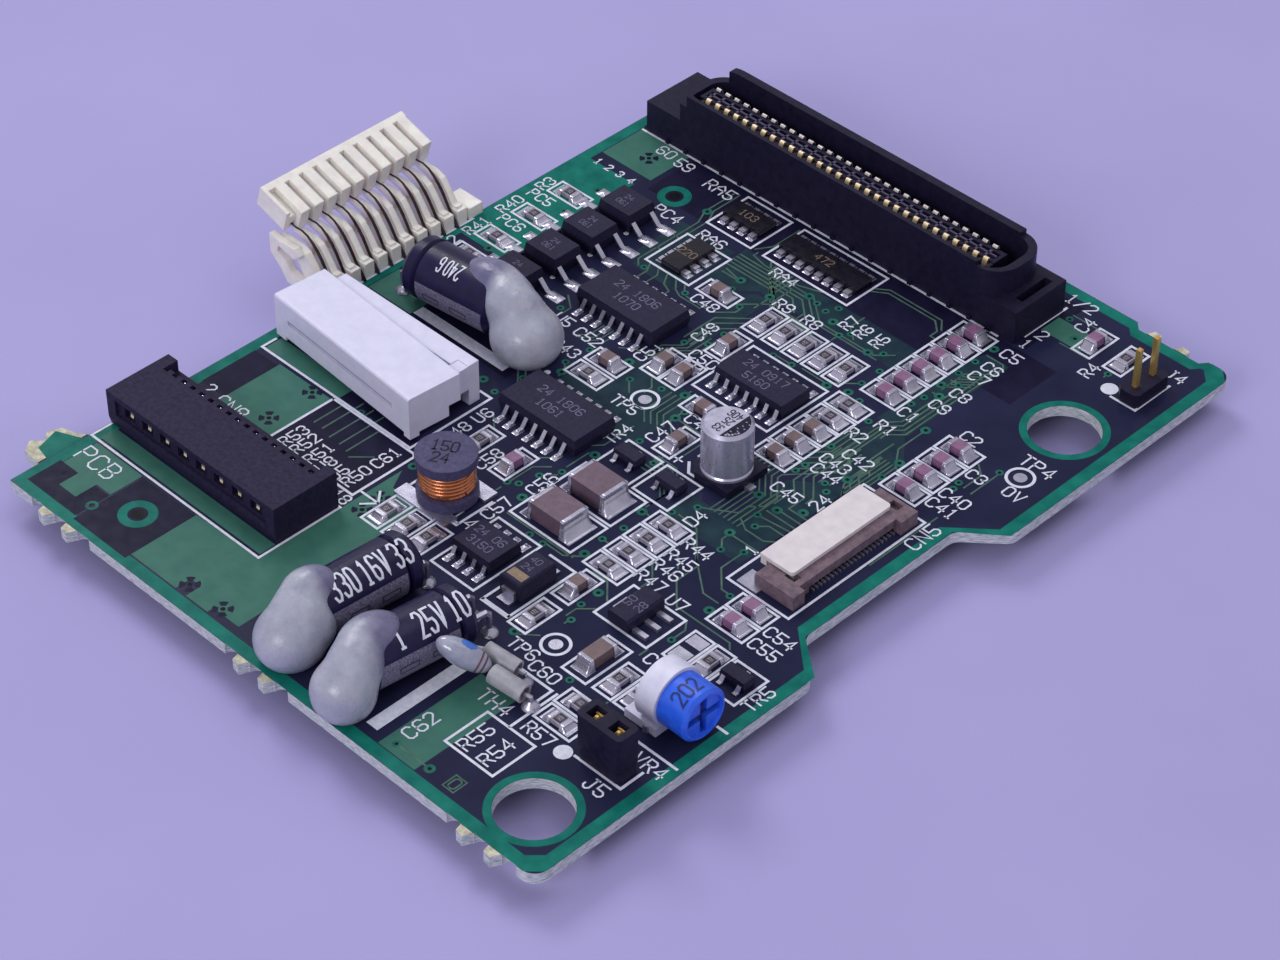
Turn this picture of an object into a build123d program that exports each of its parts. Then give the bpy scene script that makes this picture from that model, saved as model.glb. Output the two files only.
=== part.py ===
from build123d import *
import os

# A populated control board: a laminate with two mounting holes, three edge
# connectors, a flat cable socket, two pin headers, a trimmer and surface parts.
# Lengths are in millimetres.  The layout is drawn from the laminate's front left
# corner, with z = 0 on the component face.  The frame's origin is the centre of
# the front mounting hole on that face.

# ---------------------------------------------------------------- laminate
BOARD_X = 68.9
BOARD_Y = 91.0
DRAWN_Y = 91.0
FRONT_ZONE = 18.0
BOARD_T = 1.2
CORNER_R = 1.6
HOLE_R = 3.5
FRONT_HOLE = (63.2, 5.4)


def share(y):
    """Parts in the front zone keep their place; the rest spread with the laminate's depth."""
    if y < FRONT_ZONE:
        return y
    return FRONT_ZONE + (y - FRONT_ZONE) * (BOARD_Y - FRONT_ZONE) / (DRAWN_Y - FRONT_ZONE)


REAR_HOLE = (62.8, share(73.6))
RECESS_Y0 = share(36.2)
RECESS_Y1 = share(55.6)
RECESS_DEPTH = 4.0
RECESS_SLOPE = 3.6
RECESS_R = 1.5
REAR_STEP_X = BOARD_X - 11.5
REAR_STEP = 0.8
REAR_STEP_END = 2.6
REAR_STEP_RUN = 0.6
BITE_R = 0.85
BITE_PITCH = 3.3
NUB_OUT = 0.75
NUB_ROOT = 0.2
# the torn piece of panel frame left on the front left corner
LEFT_STUB = [(0.2, 3.2), (-2.4, 3.5), (-3.2, 4.7), (-2.2, 5.6), (-3.1, 6.6), (-2.6, 7.9),
             (-1.0, 8.4), (0.2, 9.2)]
# (x, y, perforations, turn): a snapped tab points along -Y before its turn
TABS = [(7.3, 0.0, 3, 0), (34.4, 0.0, 3, 0), (62.6, 0.0, 3, 0), (61.5, BOARD_Y - REAR_STEP, 3, 180)]
DRILL_GAP = 0.05
HOUSING_GAP = 0.05
TAIL_DROP = 2.2
UNDER = -BOARD_T
OVER = 1.0
TAIL_Z = UNDER - TAIL_DROP

# ---------------------------------------------------------------- chip parts
CHIP_L = 2.0
CHIP_W = 1.25
RES_H = 0.5
CAP_H = 0.9
CHIP_END = 0.4
CHIP_STAND = 0.05
BIG_L = 4.5
BIG_W = 3.2
BIG_H = 1.9
MID_L = 3.2
MID_W = 1.6
MID_H = 1.2

# (x, y, turned): turned parts lie along Y
RESISTORS = [
    (60.4, share(85.5), True), (46.5, share(61.8), False), (46.5, share(59.3), False),
    (4.4, share(66.5), False), (4.5, share(61.45), False), (4.5, share(56.4), False),
    (4.6, share(52.5), False), (26.1, share(47.9), False), (26.0, share(34.0), True),
    (27.3, share(21.4), True), (30.0, share(21.4), True), (32.6, share(21.4), True),
    (46.5, share(21.4), True), (61.4, share(27.9), True), (57.5, share(20.9), True),
    (60.0, share(20.9), True), (57.5, 13.9, False), (57.4, 16.4, False),
]
RES_ROW_X = [32.3, 34.9, 37.5, 40.1, 42.7]
RES_ROW_Y = share(65.5)
RES_COLUMN_X = 46.6
RES_COLUMN_Y = [share(y) for y in (37.85, 35.35, 32.85, 30.35)]
CAP_COLUMN_X = 47.7
CAP_COLUMN_Y = [share(y) for y in (78.1, 75.6, 73.1, 70.6, 68.1, 65.6)]
CAP_COLUMN_B_X = 58.0
CAP_COLUMN_B_Y = [share(y) for y in (64.3, 61.8, 59.3, 56.8)]
CAPACITORS = [
    (56.6, share(85.5), True), (59.4, share(35.3), False), (59.4, share(32.8), False),
    (46.5, share(56.9), False), (46.5, share(54.4), False), (46.5, share(51.9), False),
    (26.1, share(65.6), False), (32.3, share(60.4), True), (29.9, share(54.2), True),
    (32.3, share(54.2), True), (26.1, share(50.5), False), (38.9, share(46.8), True),
    (37.4, share(51.8), False), (30.5, share(34.0), True), (46.5, share(26.6), True),
]
BIG_CAPACITORS = [(38.9, share(36.6)), (38.9, share(31.6))]
MID_CAPACITOR = (54.2, share(21.5))

# (x, y, ways, turned)
NETWORKS = [
    (20.2, share(76.0), 4, False), (30.4, share(76.0), 8, False), (20.15, share(67.35), 4, True),
]
NETWORK_PITCH = 1.27
NETWORK_W = 2.4
NETWORK_H = 0.8
NETWORK_END = 0.75
NETWORK_PAD = (0.7, 0.35)

# ---------------------------------------------------------------- small outline packages
SOP_PITCH = 1.27
STRIP_T = 0.2
WIDE_SOP = dict(length=10.2, width=5.3, height=1.85, span=7.9, stand=0.1)
NARROW_SOP = dict(length=8.7, width=3.9, height=1.5, span=6.0, stand=0.1)
SHORT_SOP = dict(length=4.9, width=3.9, height=1.5, span=6.0, stand=0.1)
SOP_LEAD_W = 0.42
SOP_FOOT = 0.75
DRAFT = 0.08
REAR_LOGIC = (22.4, share(57.5))
MIDDLE_LOGIC = (28.75, share(41.2))
AMPLIFIER = (39.05, share(57.9))
CONVERTER = (37.6, share(24.0))
OPTO_X = 11.1
OPTO_Y = [share(y) for y in (67.85, 62.77, 57.69, 52.61)]
OPTO = dict(length=3.7, width=4.4, height=2.2, span=9.3, stand=0.1)
OPTO_PITCH = 2.54
OPTO_FOOT = 1.5
OPTO_LEAD_W = 0.5
TRANSISTORS = [(37.6, share(41.9)), (42.9, share(41.9)), (64.6, share(28.0))]
TRANSISTOR = dict(length=2.9, width=1.5, height=1.1, span=2.9, stand=0.08)
TRANSISTOR_PITCH = 1.9
TRANSISTOR_LEAD = (0.45, 0.45)
REGULATOR = (52.7, share(27.7))
REGULATOR_SIZE = (2.5, 4.5, 1.5)
REGULATOR_PITCH = 1.5
REGULATOR_STAND = 0.25
REGULATOR_BEVEL = 0.25
REGULATOR_LEAD = (1.6, 0.5, 0.35)
REGULATOR_TAB = (0.8, 1.7)
DIODE = (43.3, share(23.7))
DIODE_SIZE = (2.6, 4.4, 2.1)
DIODE_STAND = 0.15
DIODE_BEVEL = 0.18
DIODE_LEAD = (1.5, 0.95, 0.2, 0.3, 1.1)

# ---------------------------------------------------------------- board connector
BC_X0 = 1.9
BC_X1 = BC_X0 + 49.3
BC_Y0 = share(79.9)
BC_Y1 = BC_Y0 + 7.4
BC_BASE_H = 3.7
BC_TOP = 7.0
BC_SHROUD_X0 = BC_X0 + 3.7
BC_SHROUD_X1 = BC_X1 - 2.3
BC_WALL = 0.45
BC_REAR_WALL = 0.9
BC_FLOOR = 1.4
BC_WAYS = 30
BC_PITCH = 1.27
BC_FIRST_X = BC_X0 + 6.5
BC_STAGGER = 0.6
BC_TONGUE_W = 2.0
BC_TONGUE_TOP = 5.6
BC_CONTACT_W = 0.45
BC_CONTACT_T = 0.3
BC_CONTACT_TOP = 5.9
BC_CONTACT_BEVEL = 0.45
BC_CONTACT_GAP = 0.01
BC_NOTCH = 1.3
BC_NOTCH_X = 1.9
BC_END_LIP = 0.5
BC_CORNER_R = 3.0
BC_TONGUE_END = (1.4, 0.9)
BC_WELL_END = 0.4
BC_WELL_SIDE = 0.5
BC_WELL_DEPTH = 0.9
SLOT_X = (BC_X1 - 1.7, BC_X1 - 0.8)
SLOT_Y = (BC_Y0 + 1.8, BC_Y1 - 1.1)
SLOT_DEPTH = 1.6

# ---------------------------------------------------------------- signal socket
SS_X0 = 0.1
SS_X1 = SS_X0 + 23.6
SS_Y0 = 11.4
SS_Y1 = SS_Y0 + 7.4
SS_H = 4.1
SS_WAYS = 8
SS_PITCH = 2.54
SS_BACK_STEP = 1.3
SS_END = 1.5
SS_WINDOW_W = 1.5
SS_WINDOW_H = 1.5
SS_WINDOW_Z = 2.6
SS_WINDOW_DEPTH = 4.4
SS_SLOPE = 0.5
SS_SHELF = 1.2
SS_WELL_END = 0.6
SS_WELL_W = 0.8
SS_TOOTH_W = 0.6
SS_TOOTH_IN = 0.45
SS_LIP = (1.2, 0.35, 1.8)
SS_ROW_Y = (SS_Y0 + 2.6, SS_Y1 - 0.9)

# ---------------------------------------------------------------- edge connector
EC_WAYS = 10
EC_PITCH = 1.75
EC_MIDDLE_Y = share(46.875)
EC_FIRST_Y = EC_MIDDLE_Y - EC_PITCH * (EC_WAYS - 1) / 2
EC_BLOCK_X = 4.4
EC_BLOCK_T = 2.4
EC_TILT = 17.5
EC_EXIT = (-5.4, 5.4)
EC_END = 1.0
EC_RIB_W = 1.15
EC_RIB_H = 0.75
EC_WEB_T = 0.75
EC_POST_W = 1.15
EC_LEAD_W = 0.4
EC_LEAD_T = 0.3
EC_LEAD_X = 0.5
EC_LOW = -0.45
EC_FRONT = -0.35
EC_BACK = 0.8
EC_CHEEK = 0.45
EC_RIB_OUT = 0.3
EC_SLOT = (1.6, 0.48, 0.34)
# outlines in x and z
EC_WEB = [
    (-6.2, 4.55), (-3.4, 4.55), (-2.4, 4.2), (-1.5, 3.0), (-0.75, 1.9), (-0.1, 1.9), (-0.1, 0.0),
    (-2.3, 0.0), (-3.0, 1.6), (-4.3, 3.6), (-6.2, 4.0),
]
EC_SIDE_ARM = [
    (-6.9, 4.8), (-5.4, 4.55), (-3.2, 4.7), (-2.6, 4.0), (-3.4, 3.4), (-5.6, 3.9), (-5.8, 3.2),
    (-4.6, 2.6), (-3.9, 1.6), (-2.6, 1.3), (-2.3, 0.0), (-4.6, 0.0), (-5.4, 1.2), (-6.9, 2.6),
]
EC_LEAD_RUN = [(-6.3, 5.69), (-4.6, 5.15), (-2.2, 4.5), (-0.9, 3.3), (0.0, 1.8), (EC_LEAD_X, 0.3)]
EC_ARM_Y = (1.1, 0.3)
# (x0, x1, z0, z1)
EC_WINDOW = (-3.55, -2.75, 2.75, 3.5)
EC_POST = (-1.5, 0.35, 0, 1.7)
EC_SILL = (-2.3, -1.0, 0, 0.5)
EC_EAR = (-2.9, 0.35, 0, 1.3)
EC_EAR_Y = (0.9, 2.7)
EC_ARM_FOOT = (-3.6, -1.2, 0, 0.5)

# ---------------------------------------------------------------- power connector
PC_X0 = 3.0
PC_X1 = PC_X0 + 18.5
PC_Y1 = share(38.2)
PC_TOP = 4.7
PC_WAYS = 10
PC_PITCH = 1.75
PC_ROW_Y = PC_Y1 - 1.3
PC_FIRST_X = PC_X0 + 1.4
PC_SLIDER_L = 20.7
PC_SLIDER_W = 6.0
PC_SLIDER_TOP = 5.0
PC_SLIDER_FOOT = 0.25
PC_SLIDER_ANGLE = -4.4
PC_SLIDER_CORNER = (PC_X0 - 2.05, PC_Y1 - 7.25)
PC_SLIDER_WALL = 0.9
PC_SLIDER_LUG = 0.45
PC_SLIDER_CUTS = (2.4, 1.4)
PC_SLIDER_R = 0.3
PC_GROOVE = (2.0, 2.6, 0.35, 2.35, 2.95)
PC_FOOT = 1.0
PC_FOOT_H = 0.9
PC_REAR_Y = 1.3
PC_TONGUE_IN = (0.4, 1.4)
PC_CHEEK = (1.9, 0.1, 1.45)
PC_PIN_TOP = 2.6
# the tongue's outline: y back from the rear face, and z
PC_PROFILE = [
    (-5.2, 0.9), (-2.5, 0.9), (-2.5, 1.7), (-0.85, 1.7), (-0.85, 0.9), (0, 0.9), (0, 4.65),
    (-2.2, 4.65), (-2.2, 4.35), (-5.2, 4.35),
]

# ---------------------------------------------------------------- flat cable socket
FC_X0 = 57.3
FC_X1 = FC_X0 + 3.9
FC_END_X = FC_X1 + 0.7
FC_L = 16.3
FC_Y0 = share(45.95) - FC_L / 2
FC_Y1 = FC_Y0 + FC_L
FC_H = 1.5
FC_WAYS = 22
FC_PITCH = 0.5
FC_LOCK_X0 = FC_X0 - 1.2
FC_LOCK_X1 = FC_X0 + 2.7
FC_LOCK_Y0 = FC_Y0 + 1.9
FC_LOCK_Y1 = FC_Y1 - 1.4
FC_LOCK_TOP = 1.95
FC_LOCK_R = 0.4
FC_LOCK_GRIP = 0.7
FC_TONGUE_END = 1.5
FC_ANCHOR_OUT = 1.5
FC_END_Y = (1.5, 2.2)
FC_MOUTH = (1.3, 0.25, 0.55)
FC_THROAT = (0.6, 0.45, 0.95)
FC_REAR = (0.5, 0.62)
FC_COMB_H = 0.28
FC_ROW_END = 0.4
FC_POCKET = (1.9, 0.7, 0.9)
FC_CONTACT = (0.2, 0.2)
FC_CONTACT_OUT = (0.9, 0.25)

# ---------------------------------------------------------------- pin headers
PIN = 0.5
PIN_PITCH = 2.54
HEADER_H = 1.5
HEADER_W = 2.4
HEADER_L = 5.0
HEADER_CHAMFER = 0.4
PIN_CHAMFER = 0.12
HEADER_A = (64.4, share(83.0))
HEADER_A_TOP = 6.0
HEADER_B = (63.8, 13.3)
HEADER_B_TOP = 4.7
SHUNT_H = 3.6
SHUNT_GAP = 0.02
SHUNT_CHAMFER = 0.3
SHUNT_WELL = 1.3
SHUNT_BRIDGE = (0.9, 0.9, 1.5)
CLIP_T = 0.2
CLIP_GAP = 0.06
CLIP_W = 0.9
CLIP_BAR = (0.7, 1.0, 1.4)
CLIP_END = 0.5

# ---------------------------------------------------------------- trimmer
VR_X0 = 62.2
VR_Y = share(20.9)
VR_Z = 2.95
VR_R = 2.9
VR_CASE_L = 2.2
VR_ROTOR_L = 3.2
VR_ROTOR_R = 2.6
VR_GAP = 0.05
VR_SHAFT_R = 0.8
VR_SEAT = 1.5
VR_SEAT_W = 5.2
VR_SEAT_H = 0.9
VR_BACK = (2.6, 2.6)
VR_FLAT = 0.25
VR_CROSS = (4.0, 0.8, 1.6)
VR_DISH = (2.1, 0.5)
VR_BEVEL = 0.3
VR_PIN_TOP = 0.7

# ---------------------------------------------------------------- lying capacitors
# (x and y of the lead end, radius, length, turn about Z, how far out the leads turn down)
CAN_FRONT = (35.5, 16.7, 2.85, 11.0, -4.0, 1.0)
CAN_MIDDLE = (43.85, 15.4, 2.8, 11.0, -7.0, 1.9)
CAN_REAR = (5.2, share(45.6), 3.1, 11.0, 96.0, 1.1)
CAN_LEAD_R = 0.3
CAN_LEAD_PITCH = 2.5
CAN_LEAD_RISE = 2.6
CAN_EDGE = 0.5
CAN_CRIMP = (1.7, 0.3, 0.35)
CAN_LEAD_BEND = 0.4

# (x, y, z, half sizes along its own x, y and z, turn about Z)
GLUE_FRONT = [(35.4, 3.2, 2.3, 3.3, 3.3, 3.3, 0), (34.2, 6.5, 4.0, 2.2, 2.4, 2.3, -4)]
GLUE_MIDDLE = [(43.5, 2.0, 2.3, 3.0, 2.8, 3.2, 0), (42.15, 6.3, 4.2, 2.1, 3.0, 2.0, -7)]
GLUE_REAR = [
    (19.8, CAN_REAR[1] + 0.5, 2.1, 3.5, 3.6, 3.2, 0), (14.5, CAN_REAR[1] + 1.8, 4.5, 3.6, 2.1, 2.1, 6),
]
GLUE_GAP = 0.02

# ---------------------------------------------------------------- standing parts
SC_CENTRE = (45.1, share(46.9))
SC_R = 2.45
SC_TOP = 6.2
SC_BASE = 5.3
SC_BASE_H = 0.9
SC_STAND = 0.12
SC_CUT = 1.1
SC_EDGE = 0.3
SC_TAB = (0.6, 0.75, 0.8, 0.3)
IND_CENTRE = (29.5, share(26.8))
IND_R = 2.9
IND_TOP = 5.2
IND_DISC = 1.0
IND_CORE_R = 1.4
IND_FOOT = (6.8, 1.6)
IND_FOOT_OUT = 2.45
IND_STAND = 0.3
IND_TURNS = 4
IND_WIRE_IN = 0.55
IND_WIRE_BULGE = 0.16

# ---------------------------------------------------------------- thermistor
THERMISTOR_TAILS = [(54.4, 13.4), (51.9, 15.0)]
BEAD_TIP = (46.2, 10.3, 4.35)
BEAD_ROOT = (50.1, 12.9, 1.9)
BEAD_R = 1.2
SLEEVE_STARTS = [(50.3, 12.75, 1.65), (48.0, 14.15, 1.85)]
SLEEVE_LOW = 1.1
SLEEVE_R = 0.9
SLEEVE_WALL = 0.25
WIRE_R = 0.25
SLEEVE_SHORT = 0.7
# how each wire runs from the bead into its sleeve
WIRE_STARTS = ((-0.1, 0.0, 0.02), (-0.42, -0.9, 0.55))


def block(x0, x1, y0, y1, z0, z1):
    """A box between two corners."""
    return Pos((x0 + x1) / 2, (y0 + y1) / 2, (z0 + z1) / 2) * Box(x1 - x0, y1 - y0, z1 - z0)


def slab(x, y, length, width, z0, z1):
    """A box centred on x, y."""
    return Pos(x, y, (z0 + z1) / 2) * Box(length, width, z1 - z0)


def group(solids):
    """Separate solids that share one node."""
    return Compound(children=[solid for solid in solids])


def side_profile(points, y0, y1):
    """A plate cut to an outline in x and z, from y0 to y1."""
    face = Plane.XZ * make_face(Polyline(*points, close=True))
    return Pos(0, y1, 0) * extrude(face, y1 - y0)


def tail(x, y, half, z_top):
    """A square through-hole pin down to its trimmed end."""
    return block(x - half, x + half, y - half, y + half, TAIL_Z, z_top)


def round_holes(points, radius):
    """Outlines of round holes through the laminate."""
    return [Pos(x, y, 0) * Circle(radius) for x, y in points]


def slots(points, length, width):
    """Outlines of close-fitting slots through the laminate."""
    return [Pos(x, y, 0) * Rectangle(length + 2 * DRILL_GAP, width + 2 * DRILL_GAP) for x, y in points]


def spaced(first, pitch, count):
    return [first + pitch * i for i in range(round(count))]


# ---------------------------------------------------------------- where the pins go
WIRE_DRILL = CAN_LEAD_R + DRILL_GAP
BC_TONGUE_Y = (BC_Y0 + BC_WALL + BC_Y1 - BC_REAR_WALL) / 2
BC_ROW_OUT = BC_TONGUE_W / 2 + BC_CONTACT_T / 2
SS_FIRST_X = (SS_X0 + SS_X1 - SS_PITCH * (SS_WAYS - 1)) / 2
EC_LAST_Y = EC_FIRST_Y + EC_PITCH * (EC_WAYS - 1)


def board_connector_tails(front):
    """Places of one contact row, in front of the tongue or behind it."""
    first = BC_FIRST_X if front else BC_FIRST_X - BC_STAGGER
    row_y = BC_TONGUE_Y - BC_ROW_OUT if front else BC_TONGUE_Y + BC_ROW_OUT
    return [(x, row_y) for x in spaced(first, BC_PITCH, BC_WAYS)]


def signal_socket_tails():
    xs = spaced(SS_FIRST_X, SS_PITCH, SS_WAYS)
    return [(x, y) for y in SS_ROW_Y for x in xs]


def edge_connector_tails():
    return [(EC_LEAD_X, y) for y in spaced(EC_FIRST_Y, EC_PITCH, EC_WAYS)]


def power_connector_tails():
    return [(x, PC_ROW_Y) for x in spaced(PC_FIRST_X, PC_PITCH, PC_WAYS)]


def header_tails(centre, turned):
    x, y = centre
    half = PIN_PITCH / 2
    if turned:
        return [(x, y - half), (x, y + half)]
    return [(x - half, y), (x + half, y)]


def trimmer_tails():
    x = VR_X0 + VR_CASE_L / 2
    return [(x, VR_Y - PIN_PITCH), (x, VR_Y), (x, VR_Y + PIN_PITCH)]


def can_tails(can):
    """Where a lying capacitor's two wires enter the board, past its lead end."""
    x, y, radius, length, turn, reach = can
    place = Pos(x, y, 0) * Rot(0, 0, turn)
    points = [(place * Pos(side * CAN_LEAD_PITCH / 2, reach, 0)).position for side in (-1, 1)]
    return [(point.X, point.Y) for point in points]


# ---------------------------------------------------------------- laminate
def break_off_edge(x, y, bites, turn):
    """Half-round perforations of a snapped tab, and the stubs left between them."""
    half = BITE_PITCH * (bites - 1) / 2
    place = Pos(x, y, 0) * Rot(0, 0, turn)
    top = (BITE_PITCH - 2 * BITE_R) / 2
    stubs = []
    for cx in spaced(-half + BITE_PITCH / 2, BITE_PITCH, bites - 1):
        outline = [(cx - top, NUB_ROOT), (cx - top * 0.7, -NUB_OUT), (cx + top * 0.4, -NUB_OUT * 1.2),
                   (cx + top, NUB_ROOT)]
        stubs.append(place * make_face(Polyline(*outline, close=True)))
    cuts = [place * Pos(cx, 0, 0) * Circle(BITE_R) for cx in spaced(-half, BITE_PITCH, bites)]
    return stubs, cuts


def board_outline():
    run = RECESS_SLOPE
    inner = BOARD_X - RECESS_DEPTH
    step_x = BOARD_X - REAR_STEP_END
    outline = [
        (0, 0), (BOARD_X, 0), (BOARD_X, RECESS_Y0 - run), (inner, RECESS_Y0),
        (inner, RECESS_Y1), (BOARD_X, RECESS_Y1 + run), (BOARD_X, BOARD_Y),
        (step_x, BOARD_Y), (step_x - REAR_STEP_RUN, BOARD_Y - REAR_STEP),
        (REAR_STEP_X + REAR_STEP_RUN, BOARD_Y - REAR_STEP), (REAR_STEP_X, BOARD_Y), (0, BOARD_Y),
    ]
    face = make_face(Polyline(*outline, close=True))
    right = [v for v in face.vertices() if v.X > inner - 0.1]
    corners = [v for v in right if v.X > BOARD_X - 0.1 and (v.Y < 1 or v.Y > BOARD_Y - 1)]
    face = fillet(corners, CORNER_R)
    right = [v for v in face.vertices() if v.X > inner - 0.1]
    bends = [v for v in right if RECESS_Y0 - run - 0.1 < v.Y < RECESS_Y1 + run + 0.1]
    face = fillet(bends, RECESS_R)
    stubs = [make_face(Polyline(*LEFT_STUB, close=True))]
    cuts = []
    for x, y, bites, turn in TABS:
        more, bites_out = break_off_edge(x, y, bites, turn)
        stubs += more
        cuts += bites_out
    return face - cuts + stubs


def laminate():
    pins = signal_socket_tails() + power_connector_tails() + trimmer_tails()
    pins += header_tails(HEADER_A, True) + header_tails(HEADER_B, False)
    wires = can_tails(CAN_FRONT) + can_tails(CAN_MIDDLE) + can_tails(CAN_REAR) + THERMISTOR_TAILS
    blades = board_connector_tails(True) + board_connector_tails(False)
    holes = round_holes([FRONT_HOLE, REAR_HOLE], HOLE_R) + round_holes(wires, WIRE_DRILL)
    holes += slots(blades, BC_CONTACT_W, BC_CONTACT_T) + slots(pins, PIN, PIN)
    holes += slots(edge_connector_tails(), EC_LEAD_T, EC_LEAD_W)
    return Pos(0, 0, UNDER) * extrude(board_outline() - holes, BOARD_T)


# ---------------------------------------------------------------- board connector
def board_connector_housing():
    """The base, its walled shroud with a bevelled end, and the tongue inside."""
    base = block(BC_X0, BC_X1, BC_Y0, BC_Y1, 0, BC_BASE_H)
    length = BC_SHROUD_X1 - BC_SHROUD_X0
    middle_x = (BC_SHROUD_X0 + BC_SHROUD_X1) / 2
    outer = extrude(RectangleRounded(length, BC_Y1 - BC_Y0, BC_CORNER_R), BC_TOP)
    outer = Pos(middle_x, (BC_Y0 + BC_Y1) / 2, 0) * outer
    square = block(BC_SHROUD_X0 + 1, BC_SHROUD_X1 - BC_CORNER_R, BC_Y0, BC_Y0 + BC_CORNER_R, 0, BC_TOP)
    y0 = BC_Y0 + BC_WALL
    y1 = BC_Y1 - BC_REAR_WALL
    inner = RectangleRounded(length - 2 * BC_REAR_WALL, y1 - y0, BC_CORNER_R - BC_REAR_WALL)
    cavity = Pos(middle_x, (y0 + y1) / 2, BC_FLOOR) * extrude(inner, BC_TOP)
    shell = base + outer + square - cavity
    x0 = BC_FIRST_X - BC_TONGUE_END[0]
    x1 = BC_FIRST_X + BC_PITCH * (BC_WAYS - 1) + BC_TONGUE_END[1]
    half = BC_TONGUE_W / 2
    shell = shell + block(x0, x1, BC_TONGUE_Y - half, BC_TONGUE_Y + half, 0, BC_TONGUE_TOP)
    row = BC_CONTACT_T / 2 + BC_CONTACT_GAP
    for y in (BC_TONGUE_Y - BC_ROW_OUT, BC_TONGUE_Y + BC_ROW_OUT):
        shell = shell - block(x0, x1, y - row, y + row, -OVER, BC_FLOOR + OVER)
    well = half - BC_WELL_SIDE
    shell = shell - block(x0 + BC_WELL_END, x1 - BC_WELL_END, BC_TONGUE_Y - well, BC_TONGUE_Y + well,
                          BC_TONGUE_TOP - BC_WELL_DEPTH, BC_TOP)
    shell = shell - block(*SLOT_X, *SLOT_Y, BC_BASE_H - SLOT_DEPTH, BC_BASE_H + OVER)
    notch = block(BC_X0, BC_SHROUD_X0 + BC_NOTCH_X, BC_Y0, BC_Y1, BC_TOP - BC_NOTCH, BC_TOP)
    end_lip = block(BC_SHROUD_X1 - BC_CORNER_R, BC_X1, BC_Y0, BC_Y1, BC_TOP - BC_END_LIP, BC_TOP)
    return shell - notch - end_lip


def board_contact(x, y, side):
    """One flat contact: a blade against the tongue that runs on down as its tail."""
    face_y = y - side * BC_CONTACT_T / 2
    out = y + side * BC_CONTACT_T / 2
    points = [(face_y, BC_CONTACT_TOP), (out, BC_CONTACT_TOP - BC_CONTACT_BEVEL), (out, TAIL_Z),
              (face_y, TAIL_Z)]
    face = Plane.YZ * make_face(Polyline(*points, close=True))
    return Pos(x - BC_CONTACT_W / 2, 0, 0) * extrude(face, BC_CONTACT_W)


def board_connector_contacts(front):
    side = -1 if front else 1
    return group([board_contact(x, y, side) for x, y in board_connector_tails(front)])


# ---------------------------------------------------------------- signal socket
def signal_socket_housing():
    """The body with its windows in front, toothed step behind and bevelled foot."""
    step_y = SS_Y1 - SS_BACK_STEP
    shelf_z = SS_H - SS_SHELF
    body = block(SS_X0, SS_X1, SS_Y0, step_y, 0, SS_H)
    body = body + block(SS_X0, SS_X0 + SS_END, step_y, SS_Y1, 0, SS_H)
    body = body + block(SS_X1 - SS_END, SS_X1, step_y, SS_Y1, 0, SS_H)
    body = body + block(SS_X0, SS_X1, step_y, SS_Y1, 0, shelf_z)
    xs = spaced(SS_FIRST_X, SS_PITCH, SS_WAYS)
    window = Box(SS_WINDOW_W, SS_WINDOW_DEPTH + 0.001, SS_WINDOW_H)
    windows = [Pos(x, SS_Y0 + SS_WINDOW_DEPTH / 2, SS_WINDOW_Z) * window for x in xs]
    well_x = (xs[0] - SS_WELL_END, xs[-1] + SS_WELL_END)
    half = SS_WELL_W / 2
    front = block(*well_x, SS_ROW_Y[0] - half, SS_ROW_Y[0] + half, -OVER, SS_WINDOW_Z)
    rear = block(*well_x, SS_ROW_Y[1] - half, SS_ROW_Y[1] + half, -OVER, SS_H - 1.0)
    tooth = SS_TOOTH_W / 2
    teeth = [block(x - tooth, x + tooth, step_y - SS_TOOTH_IN, SS_Y1 + OVER, shelf_z, SS_H + OVER)
             for x in spaced(SS_FIRST_X - SS_PITCH / 2, SS_PITCH / 2, 2 * SS_WAYS + 1)]
    bevel = [(SS_Y0 - OVER, -OVER), (SS_Y0 + SS_SLOPE, -OVER), (SS_Y0, SS_SLOPE * 2),
             (SS_Y0 - OVER, SS_SLOPE * 2)]
    slope = extrude(Plane.YZ * make_face(Polyline(*bevel, close=True)), SS_X1 + OVER)
    end, deep, tall = SS_LIP
    lip = block(SS_X0 + end, SS_X1 - end, SS_Y0 - OVER, SS_Y0 + deep, SS_WINDOW_Z - tall / 2,
                SS_WINDOW_Z + tall / 2)
    return body - windows - front - rear - teeth - slope - lip


def signal_socket_contacts():
    """The front row turns into its window; the rear row stands under the teeth."""
    half = PIN / 2
    y_front, y_rear = SS_ROW_Y
    pieces = []
    for x in spaced(SS_FIRST_X, SS_PITCH, SS_WAYS):
        reach = block(x - half, x + half, SS_Y0 + SS_WELL_END, y_front + half, SS_WINDOW_Z - half,
                      SS_WINDOW_Z + half)
        pieces.append(tail(x, y_front, half, SS_WINDOW_Z + half) + reach)
        pieces.append(tail(x, y_rear, half, SS_H - SS_SHELF - 0.1))
    return group(pieces)


# ---------------------------------------------------------------- edge connector
def tilted():
    """The placing that tips the broken-away block up on its leads."""
    return Pos(EC_EXIT[0], 0, EC_EXIT[1]) * Rot(0, EC_TILT, 0)


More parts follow.
